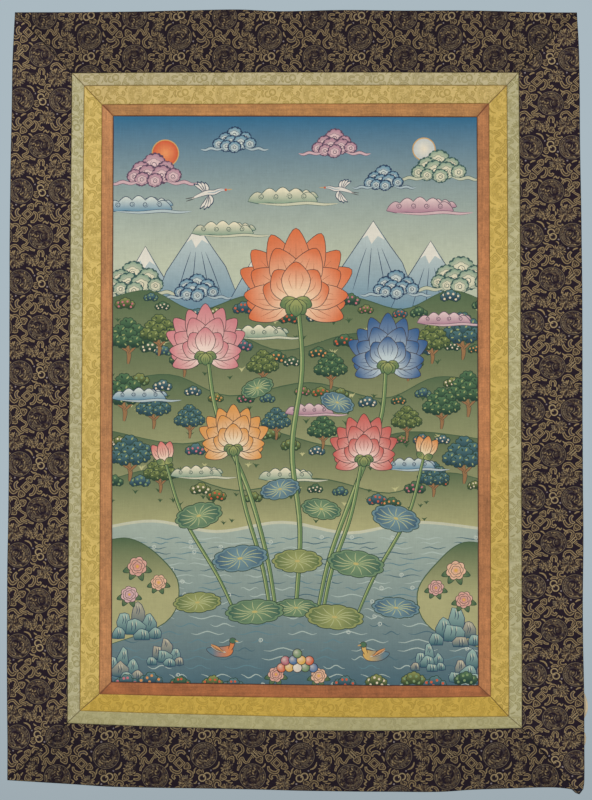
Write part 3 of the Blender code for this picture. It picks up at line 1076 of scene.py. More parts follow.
def scatter_strokes(chart, x, y, turn, flat, rings, inks, seed):
    """Rings of short strokes that lean about the outward direction, in a random mix of inks."""
    draws = np.random.RandomState(seed)
    for reach, count, size, lean in rings:
        for step in range(count):
            angle = 2 * math.pi * (step + draws.uniform(-0.3, 0.3)) / count
            spot = placed([(reach * math.cos(angle), flat * reach * math.sin(angle))], x, y, turn)[0]
            aim = turn + math.degrees(angle) + lean + draws.uniform(-40, 40)
            stroke = disc(*spot, size * draws.uniform(0.8, 1.25), 6, 0.45, aim)
            chart.lay(stroke, inks[draws.randint(len(inks))])


def tuft(chart, x, y, wide, flat, rings, seed):
    """A dense tuft: a brown body in a dark rim, covered and fringed by short strokes."""
    chart.lay(disc(x, y, wide + 1.8, 22, flat), HOLE)
    chart.lay(disc(x, y, wide - 0.6, 22, flat), BROWN)
    scatter_strokes(chart, x, y, 0, flat, rings, TUFT_INKS, seed)


show("a cloud lobe", lobe, 0, 0, 5)


# %% The round medallion
MEDALLION_RADIUS = 18.4
MEDALLION_RINGS = ((15.3, 30, 2, 70), (11.8, 24, 2, 60), (8.2, 17, 2, 80), (4.4, 9, 1.9, 30))


def medallion(chart, x, y, turn):
    """A round medallion packed with curling strokes round a dark S-shaped hollow."""
    for reach, ink in ((1.5, HOLE), (0, KHAKI), (-0.9, HOLE), (-1.6, BROWN)):
        chart.lay(disc(x, y, MEDALLION_RADIUS + reach, 34), ink)
    scatter_strokes(chart, x, y, turn, 1, MEDALLION_RINGS, MEDALLION_INKS, 5 + int(turn))
    hollow = [(-9.5, 6.5), (-4, 7.6), (1, 5), (-0.5, 0), (1.5, -4.5), (7, -5), (10.5, -1.5)]
    chart.lay(placed(brush(hollow, 4.4, 0.3), x, y, turn), HOLE)
    chart.lay(placed(brush(hollow[2:5], 1.3, 0.4), x, y, turn), KHAKI)
    for points in (
        [(-12, -3), (-8, -9.5), (-1, -11.5), (3, -8.5)],
        [(12, 4), (8.5, 9.5), (2, 11.8), (-2.5, 10.5)],
    ):
        chart.lay(placed(brush(points, 2.3, 0.3), x, y, turn), KHAKI)
        chart.lay(placed(brush(points, 0.9, 0.3), x, y, turn), BROWN)
    for spot in (
        (-6.5, 3), (4.5, 9.5), (9.3, 4.5), (-3.5, -5.8), (6, -8.6), (-10.8, -5), (-11, 9),
        (12.6, -7), (-1, 14),
    ):
        chart.lay(placed(disc(*spot, 1.3, 7), x, y, turn), HOLE)


show("a medallion", medallion, 0, 0, 0)


# %% The knot, the linked rings and the lozenge
def knot(chart, x, y):
    """A looped knot: crossed bars between two lobes, a hook above and a rippling end below."""
    hook = [(-13.6, 6), (-10.2, 13.2), (-4, 14.6), (-0.2, 10.6), (-2.6, 5.8), (-0.4, 2)]
    curl(chart, x, y, hook, 4.5)
    tail = [(2, -3), (7, -7), (12.2, -10.2), (10, -14.8), (5.2, -17.2), (8.6, -20.6), (14.4, -19.4)]
    curl(chart, x, y, tail + [(18.6, -22.4), (23.4, -23.4)], 3.9)
    lobe(chart, x + 7.4, y + 7, 5.3, 30)
    lobe(chart, x - 6.8, y - 6, 5.9, 200)
    for turn, ink in ((-45, GOLD), (45, PALE_GOLD)):
        for shift in (-1.9, 1.9):
            bar = placed(brush([(-5.8, shift), (0, shift), (5.8, shift)], 1.4, 0.8, 2), x, y, turn)
            chart.lay(grown(bar, 0.7), HOLE)
            chart.lay(bar, ink)


def linked_rings(chart, x, y):
    """Two linked rings with a lobe on each side, a small crown and two dots."""
    lobe(chart, x + 8.6, y + 5, 4.6, -20)
    lobe(chart, x - 7.4, y - 6.2, 5.2, 160)
    curl(chart, x, y, [(-5.6, 9.6), (-0.4, 12.8), (4.8, 10.4)], 3.9)
    for ring_x, ring_y in ((-1.2, 3), (1.4, -3.8)):
        for reach, ink in ((6.8, HOLE), (5.6, PALE_GOLD), (3.9, BROWN), (2.6, HOLE)):
            chart.lay(disc(x + ring_x, y + ring_y, reach, 18), ink)
    chart.lay(brush(placed([(-5.4, 1.2), (-3.2, -1.4), (0.6, -1.8)], x, y), 1.6, 0.9, 3), PALE_GOLD)
    chart.lay(disc(x + 9.4, y - 8.2, 1.4, 8), WHITE_DOT)
    chart.lay(disc(x - 9.4, y + 8.4, 1.2, 8), WHITE_DOT)
    ribbon_line(chart, x, y, [(-7.4, 18.6), (-5, 16.4), (-2.6, 15.6)], 2.1)
    ribbon_line(chart, x, y, [(-13.4, -12), (-10, -14.6), (-6.4, -14.8), (-3.8, -17.2)], 2.1)
    ribbon_line(chart, x, y, [(5.6, -11.2), (8.6, -12.8), (9.2, -15.8)], 2)


def lozenge(chart, x, y):
    """A lozenge with a dotted heart between four cloud lobes."""
    curl(chart, x, y, [(-9.6, -3.4), (-14.8, -2), (-16.2, 4), (-12.4, 8.2)], 4.9, DUSK)
    curl(chart, x, y, [(8, 2.6), (12.6, 0.8), (13.2, -4.6), (9.6, -10.6), (4.4, -11.6)], 4.6)
    lobe(chart, x + 4.8, y + 11, 5, 60)
    lobe(chart, x - 7.2, y - 10.6, 5.4, 230)
    ribbon_line(chart, x, y, [(-10.6, 10.4), (-7, 13), (-3, 13.8)], 2.4)
    ribbon_line(chart, x, y, [(0.5, -15.6), (4, -17), (6.6, -20)], 2.3)
    for size, ink in ((10, HOLE), (8.8, GOLD), (7.1, HOLE), (5.8, GOLD), (4.1, BROWN), (1.9, HOLE)):
        chart.lay(disc(x, y, size, 4), ink)


for motif in (knot, linked_rings, lozenge):
    show(motif.__name__, motif, 0, 0)


# %% The sprig, the flower head and the pine spray
def sprig(chart, x, y):
    """A leafy sprig with two broad curls below and a hook on the left."""
    curl(chart, x, y, [(-17.6, 4.6), (-14.4, 10.8), (-8.8, 10.6), (-8.2, 5.4)], 4.6)
    curl(chart, x, y, [(-5.6, -3.6), (-11.4, -5), (-13.2, -11), (-9, -15), (-5.6, -11.8)], 5)
    curl(chart, x, y, [(5.6, -4.6), (8.4, -11), (13, -14.6), (17.4, -10.8), (14.8, -6)], 5.2)
    rings = ((9.9, 22, 2.1, 0), (7, 16, 1.9, 20), (4, 10, 1.8, 40), (1.2, 3, 1.5, 0))
    tuft(chart, x, y + 3, 10, 0.84, rings, 21)
    ribbon_line(chart, x, y, [(-6, -20), (-2.8, -16.8), (0.4, -19.8), (2.8, -17)], 2.2)
    ribbon_line(chart, x, y, [(4.6, -18.6), (7.4, -21.4), (9.8, -22), (11.6, -25.8)], 2.3)
    chart.lay(disc(x + 14.6, y + 7.6, 1.3, 8), WHITE_DOT)


def flower_head(chart, x, y):
    """A round flower head of many petals, with three cloud lobes and a rippling tail."""
    lobe(chart, x - 12, y + 4.8, 5.2, 150)
    lobe(chart, x + 13, y - 6.6, 4.9, -40)
    curl(chart, x, y, [(9.4, 4.6), (8.6, 10.8), (12, 14), (15.6, 10.6), (14.8, 4.4)], 4)
    ribbon_line(chart, x, y, [(-9.4, -11.6), (-4.6, -12.8), (-0.8, -15.8), (1.4, -20.8)], 2.4)
    ribbon_line(chart, x, y, [(20.2, 7.4), (21.2, 3.8), (20.6, 0.4)], 2.1)
    tuft(chart, x, y, 9.4, 0.92, ((8.8, 20, 2, 30), (6, 14, 1.9, 60), (3.4, 8, 1.6, 40)), 33)
    chart.lay(disc(x, y, 1.6, 8), GOLD)


def pine_spray(chart, x, y):
    """A spray of pine: a broad ragged whorl of needles, with a rippling hook above."""
    hook = [(-8, 10.6), (-5.4, 17.6), (1.6, 19.6), (6, 15.4), (10.4, 12), (15.2, 14.4), (20.6, 12.8)]
    curl(chart, x, y, hook, 4.4)
    curl(chart, x, y, [(-8.2, -13.4), (-13.6, -12.6), (-15.4, -18.4), (-9.4, -21.4), (-5.2, -18.2)], 4.8)
    rings = ((12.2, 27, 2.2, 0), (9.4, 21, 2, 25), (6.4, 15, 1.9, 50), (3.2, 8, 1.7, 0))
    tuft(chart, x + 1, y - 1, 12, 0.96, rings, 45)
    ribbon_line(chart, x, y, [(-16.6, 2.4), (-15.6, -1), (-16.6, -4.8)], 2.2)


for motif in (sprig, flower_head, pine_spray):
    show(motif.__name__, motif, 0, 0)

# %% One repeat of the chart
REPEAT_ACROSS = 60
REPEAT_ALONG = 135
SMALL_DOTS = ((-16.6, -17.6), (16, -19.6), (13.6, -51), (-15, -82), (14.4, -82.6), (-2, -116.4))


def brocade_repeat():
    """The chart's one repeat, in the directions of a side strip: small motifs, then large ones."""
    small, large = Chart(), Chart()
    sprig(small, 9, -95.4)
    flower_head(small, -11.8, -34.6)
    pine_spray(small, 22, -33)
    knot(small, -31.6, 3)
    linked_rings(small, 0.6, -66)
    for x, y in SMALL_DOTS:
        small.lay(disc(x, y, 1.1, 7), DUSK)
    lozenge(large, -19.4, -101.6)
    medallion(large, 0, 0, 0)
    medallion(large, 30, -67.5, 150)
    return small, large


Repeat = namedtuple("Repeat", "charts across along")
BROCADE = Repeat(brocade_repeat(), REPEAT_ACROSS, REPEAT_ALONG)
print("figures in one repeat:", sum(len(part.outlines) for part in BROCADE.charts))

# %% [markdown]
# ### Laying a repeat on a strip
# Where a repeat sits on each strip, and how far the silk was pulled there, differ a little
# from strip to strip, as they do in sewn cloth: the bottom strip is stretched most. Four
# strips meet in mitred corners, so the same function serves every frame of the mount.

# %% Laying a repeat as a strip was cut
# A cut: its side, how its cloth is turned, where the repeat starts, how far the repeat is
# stretched across and along, its dye with the painted light and shade that the strip shows in
# place, and how strongly its figures and the painted shade of its seams show.
Cut = namedtuple("Cut", "side turn x z across along ground strength", defaults=(1,))
MOST_ALONG = 10
MOST_ACROSS = 12
MOTIF_REACH = 90
MOTIF_NEAR = 115
# The crumpled corner gets a patch of painted shade, with two short strokes in khaki and brown on it.
CORNER_SHADE = srgb(30, 30, 42)
DROOP = [(412, -1170), (417, -1166.6), (424, -1165.4), (431, -1168), (429, -1179), (416, -1179)]
CORNER_FIGURES = (
    ([(416, -1168), (420, -1171), (425, -1169)], KHAKI),
    ([(421, -1174), (425, -1172), (429, -1174)], BROWN),
)


def repeats_near(repeat, cut, outline):
    """How far the repeat is moved, in its own steps, wherever it touches the strip."""
    stretch = np.array([cut.across / repeat.across, cut.along / repeat.along])
    centre = outline.mean(0)
    reach = np.linalg.norm(outline - centre, axis=1).max() + MOTIF_REACH
    shifts = []
    for step_along in range(-MOST_ALONG, MOST_ALONG + 1):
        for step_across in range(-MOST_ACROSS, MOST_ACROSS + 1):
            shift = (step_across * repeat.across, step_along * repeat.along)
            middle = np.add(shift, (0, -0.5 * repeat.along)) * stretch
            middle = placed([middle], cut.x, cut.z, cut.turn)
            near = np.linalg.norm(middle[0] - centre) < reach
            if near and edge_distance(middle, outline)[0] < MOTIF_NEAR:
                shifts.append(shift)
    return stretch, shifts


def lay_repeats(repeat, cut, outline):
    """Repeats over a strip, turned and stretched as that strip was cut, in its dye with its painted light
    and shade.
    """
    chart = Chart()
    stretch, shifts = repeats_near(repeat, cut, outline)
    dye_and_light = cut.ground / GROUND if repeat is BROCADE else cut.ground
    for part in repeat.charts:
        for shift in shifts:
            for figure, ink in zip(part.outlines, part.inks):
                share = 1 + cut.strength * (ink.colour - 1)
                dyed_ink = ink._replace(colour=share * dye_and_light)
                chart.lay(placed((figure + shift) * stretch, cut.x, cut.z, cut.turn), dyed_ink)
    if repeat is BROCADE:
        # Painted shade over the drooping corner.
        chart.lay(closed_curve(DROOP), Ink(CORNER_SHADE))
        for points, ink in CORNER_FIGURES:
            chart.lay(brush(points, 1.8, 0.4, 2), ink)
    return chart


print("a repeat may be laid up to", (2 * MOST_ALONG + 1) * (2 * MOST_ACROSS + 1), "times on a strip")

# %% Four strips as one frame, and what each stands for
SILK_THICKNESS = 1.5


def dress(sheet, node_name, slot, size, area):
    """Hangs a finished cloth from the root and hides the model's node that it stands in for."""
    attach(sheet, "root")
    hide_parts(node_name)


def strip_size(outline):
    """A strip's cut size and area in metres: its box, and the mitred area inside."""
    low, high = outline.min(0), outline.max(0)
    width, length = (high - low) * MM
    area = abs(signed_area(outline)) * MM * MM
    return (float(width), float(length)), float(min(area, width * length))


def make_frame(name, node_name, slot, lines, face, repeat, cuts, seam, back):
    """Four mitred strips of one cloth between two lines of the mount."""
    for cut in cuts:
        outline, mitres = strip_outline(*lines, cut.side)
        line = cut.ground + cut.strength * (seam.line - cut.ground)
        strip = close_sheet(
            f"{name}_{cut.side}", outline, lay_repeats(repeat, cut, outline),
            (cut.ground, srgb(*back)), SILK_THICKNESS, cut.side in ("left", "right"),
            [face, SILK_BACK], seam._replace(line=line, shadow=cut.strength), mitres,
        )
        dress(strip, f"{node_name}_{cut.side}", slot, *strip_size(outline))


width, length = strip_size(strip_outline(None, GREEN_OUTSIDE, "top")[0])[0]
print("the top border is cut", round(width, 3), "by", round(length, 3), "m")

# %% The dark border
# The dark border's seam and mitre lines are painted shade along its edges.
DARK_SEAM = Seam(0.6, 0.8, 0.05, EDGE_GUIDES[0], srgb(22, 20, 26), srgb(30, 24, 32))
# Each strip's ground is the dark dye scaled by the painted light and shade that it shows in place: the
# turned top and bottom strips darker than the sides.
DARK_CUTS = (
    Cut("left", -0.3, -381.5, -66.5, 61, 136.4, 0.94 * GROUND),
    Cut("right", 0.4, 382, -139.2, 63, 131.8, 0.94 * GROUND),
    Cut("top", 90, -242, -9.5, 61, 135.2, 0.73 * GROUND),
    Cut("bottom", -90, 81, -1086, 63.4, 146.2, 0.77 * GROUND),
)
make_frame(
    "border", "outer_border", "dark_brocade", (None, GREEN_OUTSIDE), DARK_FACE, BROCADE, DARK_CUTS,
    DARK_SEAM, (88, 74, 58),
)

# %% [markdown]
# ## The three silks round the picture
# The yellow and the green silk are damasks of the same design as the border: figure and
# ground are one dye, and only the turn of the weave tells them apart. So the chart is used
# again, with each of its inks turned into a share of the strip's own dye. The orange silk is
# plain, with faint streaks along its threads. Every strip keeps the tone that it shows in
# place, so its dye holds painted light and shade: silk looks lighter or darker with the way
# its threads lie to the light, and each strip copies that.

# %% From brocade to damask
DAMASK_DEPTHS = (
    (HOLE, 0), (WHITE_DOT, 0.2), (BROWN, 0.5), (DUSK, 0.5), (RUST, 0.75), (KHAKI, 0.75), (GOLD, 1),
    (PALE_GOLD, 1),
)
DAMASK_FALL = np.array([0.33, 0.35, 0.52])


def as_damask(charts):
    """The same figures in shares of one dye: the deeper, the less of its light comes back."""
    woven = []
    for part in charts:
        chart = Chart()
        for outline, ink in zip(part.outlines, part.inks):
            depth = next(depth for kind, depth in DAMASK_DEPTHS if ink is kind)
            chart.lay(outline, Ink(1 - depth * DAMASK_FALL, figure=depth))
        woven.append(chart)
    return woven


DAMASK = Repeat(as_damask(BROCADE.charts), REPEAT_ACROSS, REPEAT_ALONG)
PLAIN = Repeat((), REPEAT_ACROSS, REPEAT_ALONG)
print("shares of the dye in the damask's lines:", (1 - DAMASK_FALL).tolist())


# %% The orange silk
def dyed_and_lit(side, turn, x, z, along, dye_and_light, strength=1):
    """A cut that isn't stretched across, in a dye with its painted light and shade, as a screen colour."""
    return Cut(side, turn, x, z, REPEAT_ACROSS, along, srgb(*dye_and_light), strength)


# A silk's seam: its dark line and mitre colours are painted shade.
def silk_seam(line, mitre):
    return Seam(0.7, 0.7, 0.14, EDGE_GUIDES[0], srgb(*line), srgb(*mitre))


make_frame(
    "orange", "orange_strip", "orange_silk", (ORANGE_OUTSIDE, PAINTING_EDGE), ORANGE_FACE, PLAIN,
    (
        dyed_and_lit("top", 90, 0, 0, REPEAT_ALONG, (171, 119, 68)),
        dyed_and_lit("bottom", -90, 0, 0, REPEAT_ALONG, (163, 97, 55)),
        dyed_and_lit("left", 0, 0, 0, REPEAT_ALONG, (180, 123, 76)),
        dyed_and_lit("right", 0, 0, 0, REPEAT_ALONG, (178, 116, 70)),
    ),
    silk_seam((130, 78, 42), (104, 60, 34)), (150, 100, 66),
)

# %% The yellow damask
make_frame(
    "yellow", "yellow_strip", "yellow_brocade", (YELLOW_OUTSIDE, ORANGE_OUTSIDE), YELLOW_FACE, DAMASK,
    (
        dyed_and_lit("top", 90, -234, -124.8, 131, (199, 171, 103)),
        dyed_and_lit("bottom", -90, 120, -1046, 146, (199, 163, 66), 0.7),
        dyed_and_lit("left", 0, -328.4, -289.4, 139, (209, 179, 97)),
        dyed_and_lit("right", 180, 279.1, -337.9, 137, (206, 173, 85)),
    ),
    silk_seam((142, 110, 50), (96, 74, 32)), (176, 154, 100),
)

# %% The pale green damask
make_frame(
    "green", "green_strip", "green_brocade", (GREEN_OUTSIDE, YELLOW_OUTSIDE), GREEN_FACE, DAMASK,
    (
        dyed_and_lit("top", 90, -206.5, -102.8, 132.6, (184, 170, 129)),
        dyed_and_lit("bottom", -90, 60, -1066, 146, (174, 165, 118), 0.45),
        dyed_and_lit("left", 0, -330.6, -106.2, 134, (185, 176, 135)),
        dyed_and_lit("right", 180, 299, -210.7, 133, (183, 174, 131)),
    ),
    silk_seam((136, 120, 74), (98, 84, 44)), (156, 148, 112),
)

# %% [markdown]
# ## The painted picture
# A scroll of this kind carries a picture in mineral paint on primed cotton. This one is a
# general design of its own: five lotuses rise from a lake between hills, trees and clouds.
# Such pictures are built up from the back: sky, far peaks, hills, then plants and flowers.
# Each form is filled with a blend from pale to deep, closed by a fine dark line, and given
# its veins or curls last.

# %% Paints and the finest lines
WARMTH = np.array([1.07, 0.97, 0.92])


def paint(red, green, blue):
    """A paint as linear colour, warmed a little by the binder and by age."""
    return srgb(red, green, blue) * WARMTH


def tint(red, green, blue, figure=0):
    return Ink(paint(red, green, blue), figure=figure)


INDIGO = tint(38, 60, 88)
DARK_LINE = tint(58, 50, 52)
LEAF_LINE = tint(42, 66, 52)
GOLD_LINE = tint(196, 158, 92, 0.8)
CREAM_LINE = tint(206, 206, 180)


def vein(chart, points, ink, width=0.9, steps=3):
    chart.lay(brush(points, width, 0.3, steps), ink)


def swirl(chart, x, y, radius, ink, turn=0, flip=False, width=1):
    chart.lay(coiled(x, y, radius, width, turn, flip), ink)


show("a vein", vein, [(0, 0), (1, 4), (0, 8)], INDIGO)


# %% Clouds
CLOUD_TONES = {
    "blue": (paint(204, 216, 208), paint(98, 142, 164), INDIGO),
    "cream": (paint(226, 222, 194), paint(132, 160, 138), tint(54, 86, 84)),
    "lilac": (paint(218, 198, 196), paint(168, 130, 146), tint(88, 70, 92)),
}
# Each billow's place and size in shares of the cloud's, the ones at the back first.
BILLOWS = (
    (0, 0.75, 0.75), (-0.85, 0.35, 0.62), (0.85, 0.4, 0.6), (-0.35, 0.05, 0.7), (0.5, 0, 0.68),
    (-1.35, -0.1, 0.48), (1.35, -0.08, 0.5), (-0.8, -0.3, 0.5), (0.05, -0.38, 0.55),
)
CLOUD_TAIL = ((0.9, -0.45), (1.5, -0.62), (2.1, -0.5), (2.6, -0.66), (3, -0.58))


def cloud(chart, x, y, size, tone, draws):
    """A bank of cloud: scalloped billows, the highest at the back, each with a coil inside."""
    pale, deep, line = CLOUD_TONES[tone]
    for across, up, reach in BILLOWS:
        middle = (x + size * (across + draws.uniform(-0.08, 0.08)), y + size * up)
        radius = size * reach * draws.uniform(0.9, 1.08)
        outline = scalloped(*middle, radius, 8, 0.16, 4, 0.86, draws.uniform(0, 40))
        chart.lay(scalloped(*middle, radius + 1.7, 16, 0.09, 3, 0.87, draws.uniform(0, 40)), line)
        chart.lay(outline, round_blend(pale, deep, (middle[0], middle[1] - 0.2 * radius), radius))
        inner = scalloped(middle[0], middle[1] - 0.12 * radius, 0.68 * radius, 6, 0.16, 3, 0.86)
        chart.lay(grown(inner, 0.5), line)
        chart.lay(inner, round_blend(pale, 0.5 * (pale + deep), middle, 0.7 * radius))
        spin = draws.uniform(0, 360)
        swirl(chart, middle[0], middle[1] - 0.1 * radius, 0.36 * radius, line, spin, across > 0)
    for side in (-1, 1):
        tail = placed(np.array(CLOUD_TAIL) * (side * size, size), x, y)
        chart.two_strokes(tail, (0.2 * size + 1.6, line), (0.2 * size, Ink(0.5 * (pale + deep))), 0.1)


def bank(chart, x, y, length, tone, draws):
    """A bank of low cloud: a row of billows over a flat foot, with a coil in each, and a tail."""
    pale, deep, line = CLOUD_TONES[tone]
    across = np.linspace(-1, 1, 31)
    billow = 0.66 + 0.34 * np.abs(np.sin(2.5 * math.pi * (across + 1)))
    billow = 0.4 * np.sqrt(1 - across**2) * billow
    foot = np.column_stack([across[-2:0:-5], -0.05 + 0.03 * np.sin(9 * across[-2:0:-5])])
    for side, size in ((1, 0.55), (-1, 1)):
        reach = length * size
        outline = np.vstack([np.column_stack([across, billow]), foot]) * length * size
        shift = 0.5 * length * (side > 0) * draws.uniform(0.9, 1.1)
        middle = (x + shift, y + 0.12 * length * (side > 0))
        fill = blend(pale, deep, (0, middle[1] + 0.36 * reach), (0, middle[1] - 0.04 * reach))
        chart.lined(placed(outline, *middle), fill, line, 1)
        for share in (-0.62, -0.2, 0.2, 0.62):
            spot = placed([(share * reach, 0.14 * reach)], *middle)[0]
            swirl(chart, *spot, 0.09 * reach, line, draws.uniform(0, 360), share > 0)
    tail = [(-0.7, -0.06), (0, -0.1), (0.7, -0.05), (1.2, -0.09), (1.6, -0.06)]
    tail = placed(tail, x, y, 0, length)
    fill = Ink(0.6 * pale + 0.4 * deep)
    chart.two_strokes(tail, (0.08 * length + 1.4, line), (0.08 * length, fill), 0.1)


show("a cloud", cloud, 0, 0, 20, "blue", TRIAL_DRAWS)
show("a low bank", bank, 0, 0, 40, "cream", TRIAL_DRAWS)

# %% Bushes, hills and grass
BUSH_TONES = (
    (paint(30, 62, 54), paint(88, 124, 88)), (paint(36, 66, 84), paint(92, 132, 134)),
    (paint(54, 76, 44), paint(140, 150, 88)),
)
BLOOMS = (
    tint(198, 92, 58), tint(216, 206, 178), tint(210, 146, 86), tint(190, 112, 122), tint(122, 150, 104),
)


def bush(chart, x, y, size, draws):
    """A low bush of three rounded clumps, set with small flowers or light leaves."""
    deep, light = BUSH_TONES[draws.randint(3)]
    bloom = BLOOMS[draws.randint(5)]
    for across, up, reach in ((-0.66, 0.3, 0.6), (0.66, 0.26, 0.58), (0, 0.52, 0.74)):
        middle = (x + size * across, y + size * up)
        radius = size * reach
        outline = scalloped(*middle, radius, 7, 0.16, 3, 0.85, draws.uniform(0, 50))
        fill = blend(light, deep, (middle[0], middle[1] + radius), (middle[0], middle[1] - 0.5 * radius))
        chart.lined(outline, fill, LEAF_LINE, 1.1)
        for turn in (40, 150, 265):
            spot = placed([(0.45 * radius, 0)], *middle, turn + draws.uniform(-25, 25))[0]
            chart.lay(disc(*spot, 0.15 * size, 6), bloom)


def hill(chart, crest, base, high, low, line, width=1):
    """A ridge filled from a deep tone at its crest to a pale one at its foot."""
    ridge = open_curve(crest, 6)
    top = ridge[:, 1].max()
    outline = np.vstack([ridge, (ridge[-1][0], base), (ridge[0][0], base)])
    chart.lay(outline, blend(high, low, (0, top), (0, 0.5 * (top + base))))
    chart.lay(brush(crest, width, 0.5, 6), line)


def grass(chart, x, y, size, ink, draws):
    """A tuft of three or four blades."""
    for lean in (-0.75, -0.25, 0.3, 0.8):
        tip = (x + size * lean, y + size * draws.uniform(0.7, 1.2))
        bend = (x + 0.35 * size * lean, y + 0.6 * size)
        chart.lay(brush([(x, y), bend, tip], 1.3, 0.2, 2), ink)


show("a bush", bush, 0, 0, 10, TRIAL_DRAWS)

# %% Trees
TREE_TONES = (
    (paint(30, 62, 50), paint(84, 122, 84)), (paint(34, 66, 80), paint(80, 120, 122)),
    (paint(50, 74, 46), paint(122, 138, 78)),
)
TRUNK_AND_BOUGHS = (
    ([(0, 0), (0.05, 0.45), (-0.05, 0.9), (0.04, 1.4)], 0.2),
    ([(0.02, 0.5), (0.3, 0.8), (0.52, 1.1)], 0.11), ([(0, 0.6), (-0.3, 0.85), (-0.5, 1.15)], 0.11),
)
CROWNS = (
    (0, 1.95, 0.42), (-0.4, 1.62, 0.4), (0.42, 1.66, 0.4), (0.02, 1.45, 0.42), (-0.68, 1.22, 0.38),
    (0.68, 1.25, 0.38), (-0.28, 1.1, 0.36), (0.34, 1.12, 0.36),
)


def tree(chart, x, y, size, draws):
    """A tree: gold-brown trunk and boughs, and rounded crowns of overlapping leaf clumps."""
    for points, width in TRUNK_AND_BOUGHS:
        bough = placed(points, x, y, 0, size)
        chart.lay(brush(bough, width * size + 1.2, 0.5), DARK_LINE)
        chart.lay(brush(bough, width * size, 0.4), tint(146, 112, 74))
    deep, light = TREE_TONES[draws.randint(3)]
    for across, up, reach in CROWNS:
        middle = (x + size * across, y + size * up)
        radius = size * reach
        fill = blend(light, deep, (middle[0], middle[1] + radius), (middle[0], middle[1] - 0.6 * radius))
        chart.lined(scalloped(*middle, radius, 8, 0.16, 3, 0.88), fill, LEAF_LINE, 1.1)
        for step in range(6):
            turn = 60 * step + draws.uniform(-14, 14)
            aim = math.radians(turn)
            far = 0.6 * radius
            spot = (middle[0] + far * math.cos(aim), middle[1] + 0.85 * far * math.sin(aim))
            leaf = tint(152, 166, 106) if step % 2 else LEAF_LINE
            chart.lay(disc(*spot, 0.2 * radius, 6, 0.5, turn), leaf)


show("a tree", tree, 0, 0, 25, TRIAL_DRAWS)

# %% Rocks
SLABS = (
    (0.1, 0.95, 0.5, 1), (-0.55, 0.55, 0.5, 0.85), (0.7, 0.45, 0.5, 0.75), (-0.05, 0.3, 0.7, 0.7),
    (-0.9, 0, 0.45, 0.5), (0.95, 0, 0.42, 0.45), (0.3, -0.1, 0.55, 0.45),
)
CRACK = ((0, 0.08), (0.03, 0.3), (-0.02, 0.5))


def rock(chart, x, y, size, draws):
    """A stack of split slabs, pale on top and deep below, with dark cracks."""
    for across, up, wide, tall in SLABS:
        jag = draws.uniform(-0.12, 0.12, 7)
        outline = [(-0.5, -0.5), (-0.55 + jag[0], 0), (-0.3 + jag[1], 0.5 + jag[2]), (0, 0.62 + jag[3])]
        outline += [(0.28 + jag[4], 0.46), (0.5 + jag[5], 0.1), (0.52, -0.5), (0, -0.58 + jag[6])]
        slab_size = (wide * size * 1.3, tall * size)
        outline = placed(np.array(outline) * slab_size, x + across * size, y + up * size)
        top, low = outline[:, 1].max(), outline[:, 1].min()
        light = paint(150, 182, 172) if draws.uniform() < 0.6 else paint(176, 172, 150)
        chart.lined(outline, blend(light, paint(46, 92, 104), (0, top), (0, low)), INDIGO, 1)
        for share in (0.3, 0.62):
            start = outline[2] * (1 - share) + outline[4] * share
            crack = [start + (step * size, -fall * size) for step, fall in CRACK]
            vein(chart, crack, INDIGO, 1.1)
            chart.lay(brush([start + (1.5, 0), start + (2, -0.25 * size)], 1, 0.3, 2), CREAM_LINE)


show("a rock", rock, 0, 0, 25, TRIAL_DRAWS)

# %% [markdown]
# ### Lotus, leaves and small flowers
# A painter builds a lotus from one petal shape, pointed and pale at its root, laid in rows
# from the back to the front. One function draws that petal with its outline and veins, and
# the flower, the bud and the calyx all use it.

# %% Lotus flowers
SEPAL = (paint(150, 160, 100), paint(84, 116, 78), LEAF_LINE)


def petal(reach, width, x, y, turn, bend=0):
    """A pointed petal that grows from a place in a direction, 0 being upwards."""
    half = 0.5 * width
    left = [(-0.35 * half, 0.06), (-0.85 * half, 0.3), (-half, 0.58), (-0.62 * half, 0.84)]
    rows = [(0, 0)] + left + [(0, 1)] + [(-across, up) for across, up in left[::-1]]
    rows = [(across + bend * half * up * up, up * reach) for across, up in rows]
    return placed(closed_curve(rows, 3), x, y, -turn)


def draw_petal(chart, reach, width, x, y, turn, base, tip, line, bend=0):
    outline = petal(reach, width, x, y, turn, bend)
    aim = math.radians(turn)
    way = np.array([math.sin(aim), math.cos(aim)])
    fill = blend(base, tip, (x, y) + 0.25 * reach * way, (x, y) + 0.95 * reach * way)
    chart.lined(outline, fill, line, 0.9)
    side = np.array([way[1], -way[0]])
    for share in (-0.26, 0, 0.26):
        start = (x, y) + 0.3 * reach * way + 0.5 * share * width * side
        middle = (x, y) + 0.55 * reach * way + share * width * side
        end = (x, y) + (0.8 - 0.3 * abs(share)) * reach * way + (0.7 * share + 0.1 * bend) * width * side
        vein(chart, [start, middle, end], Ink(0.55 * tip + 0.45 * line.colour), 0.8, 2)


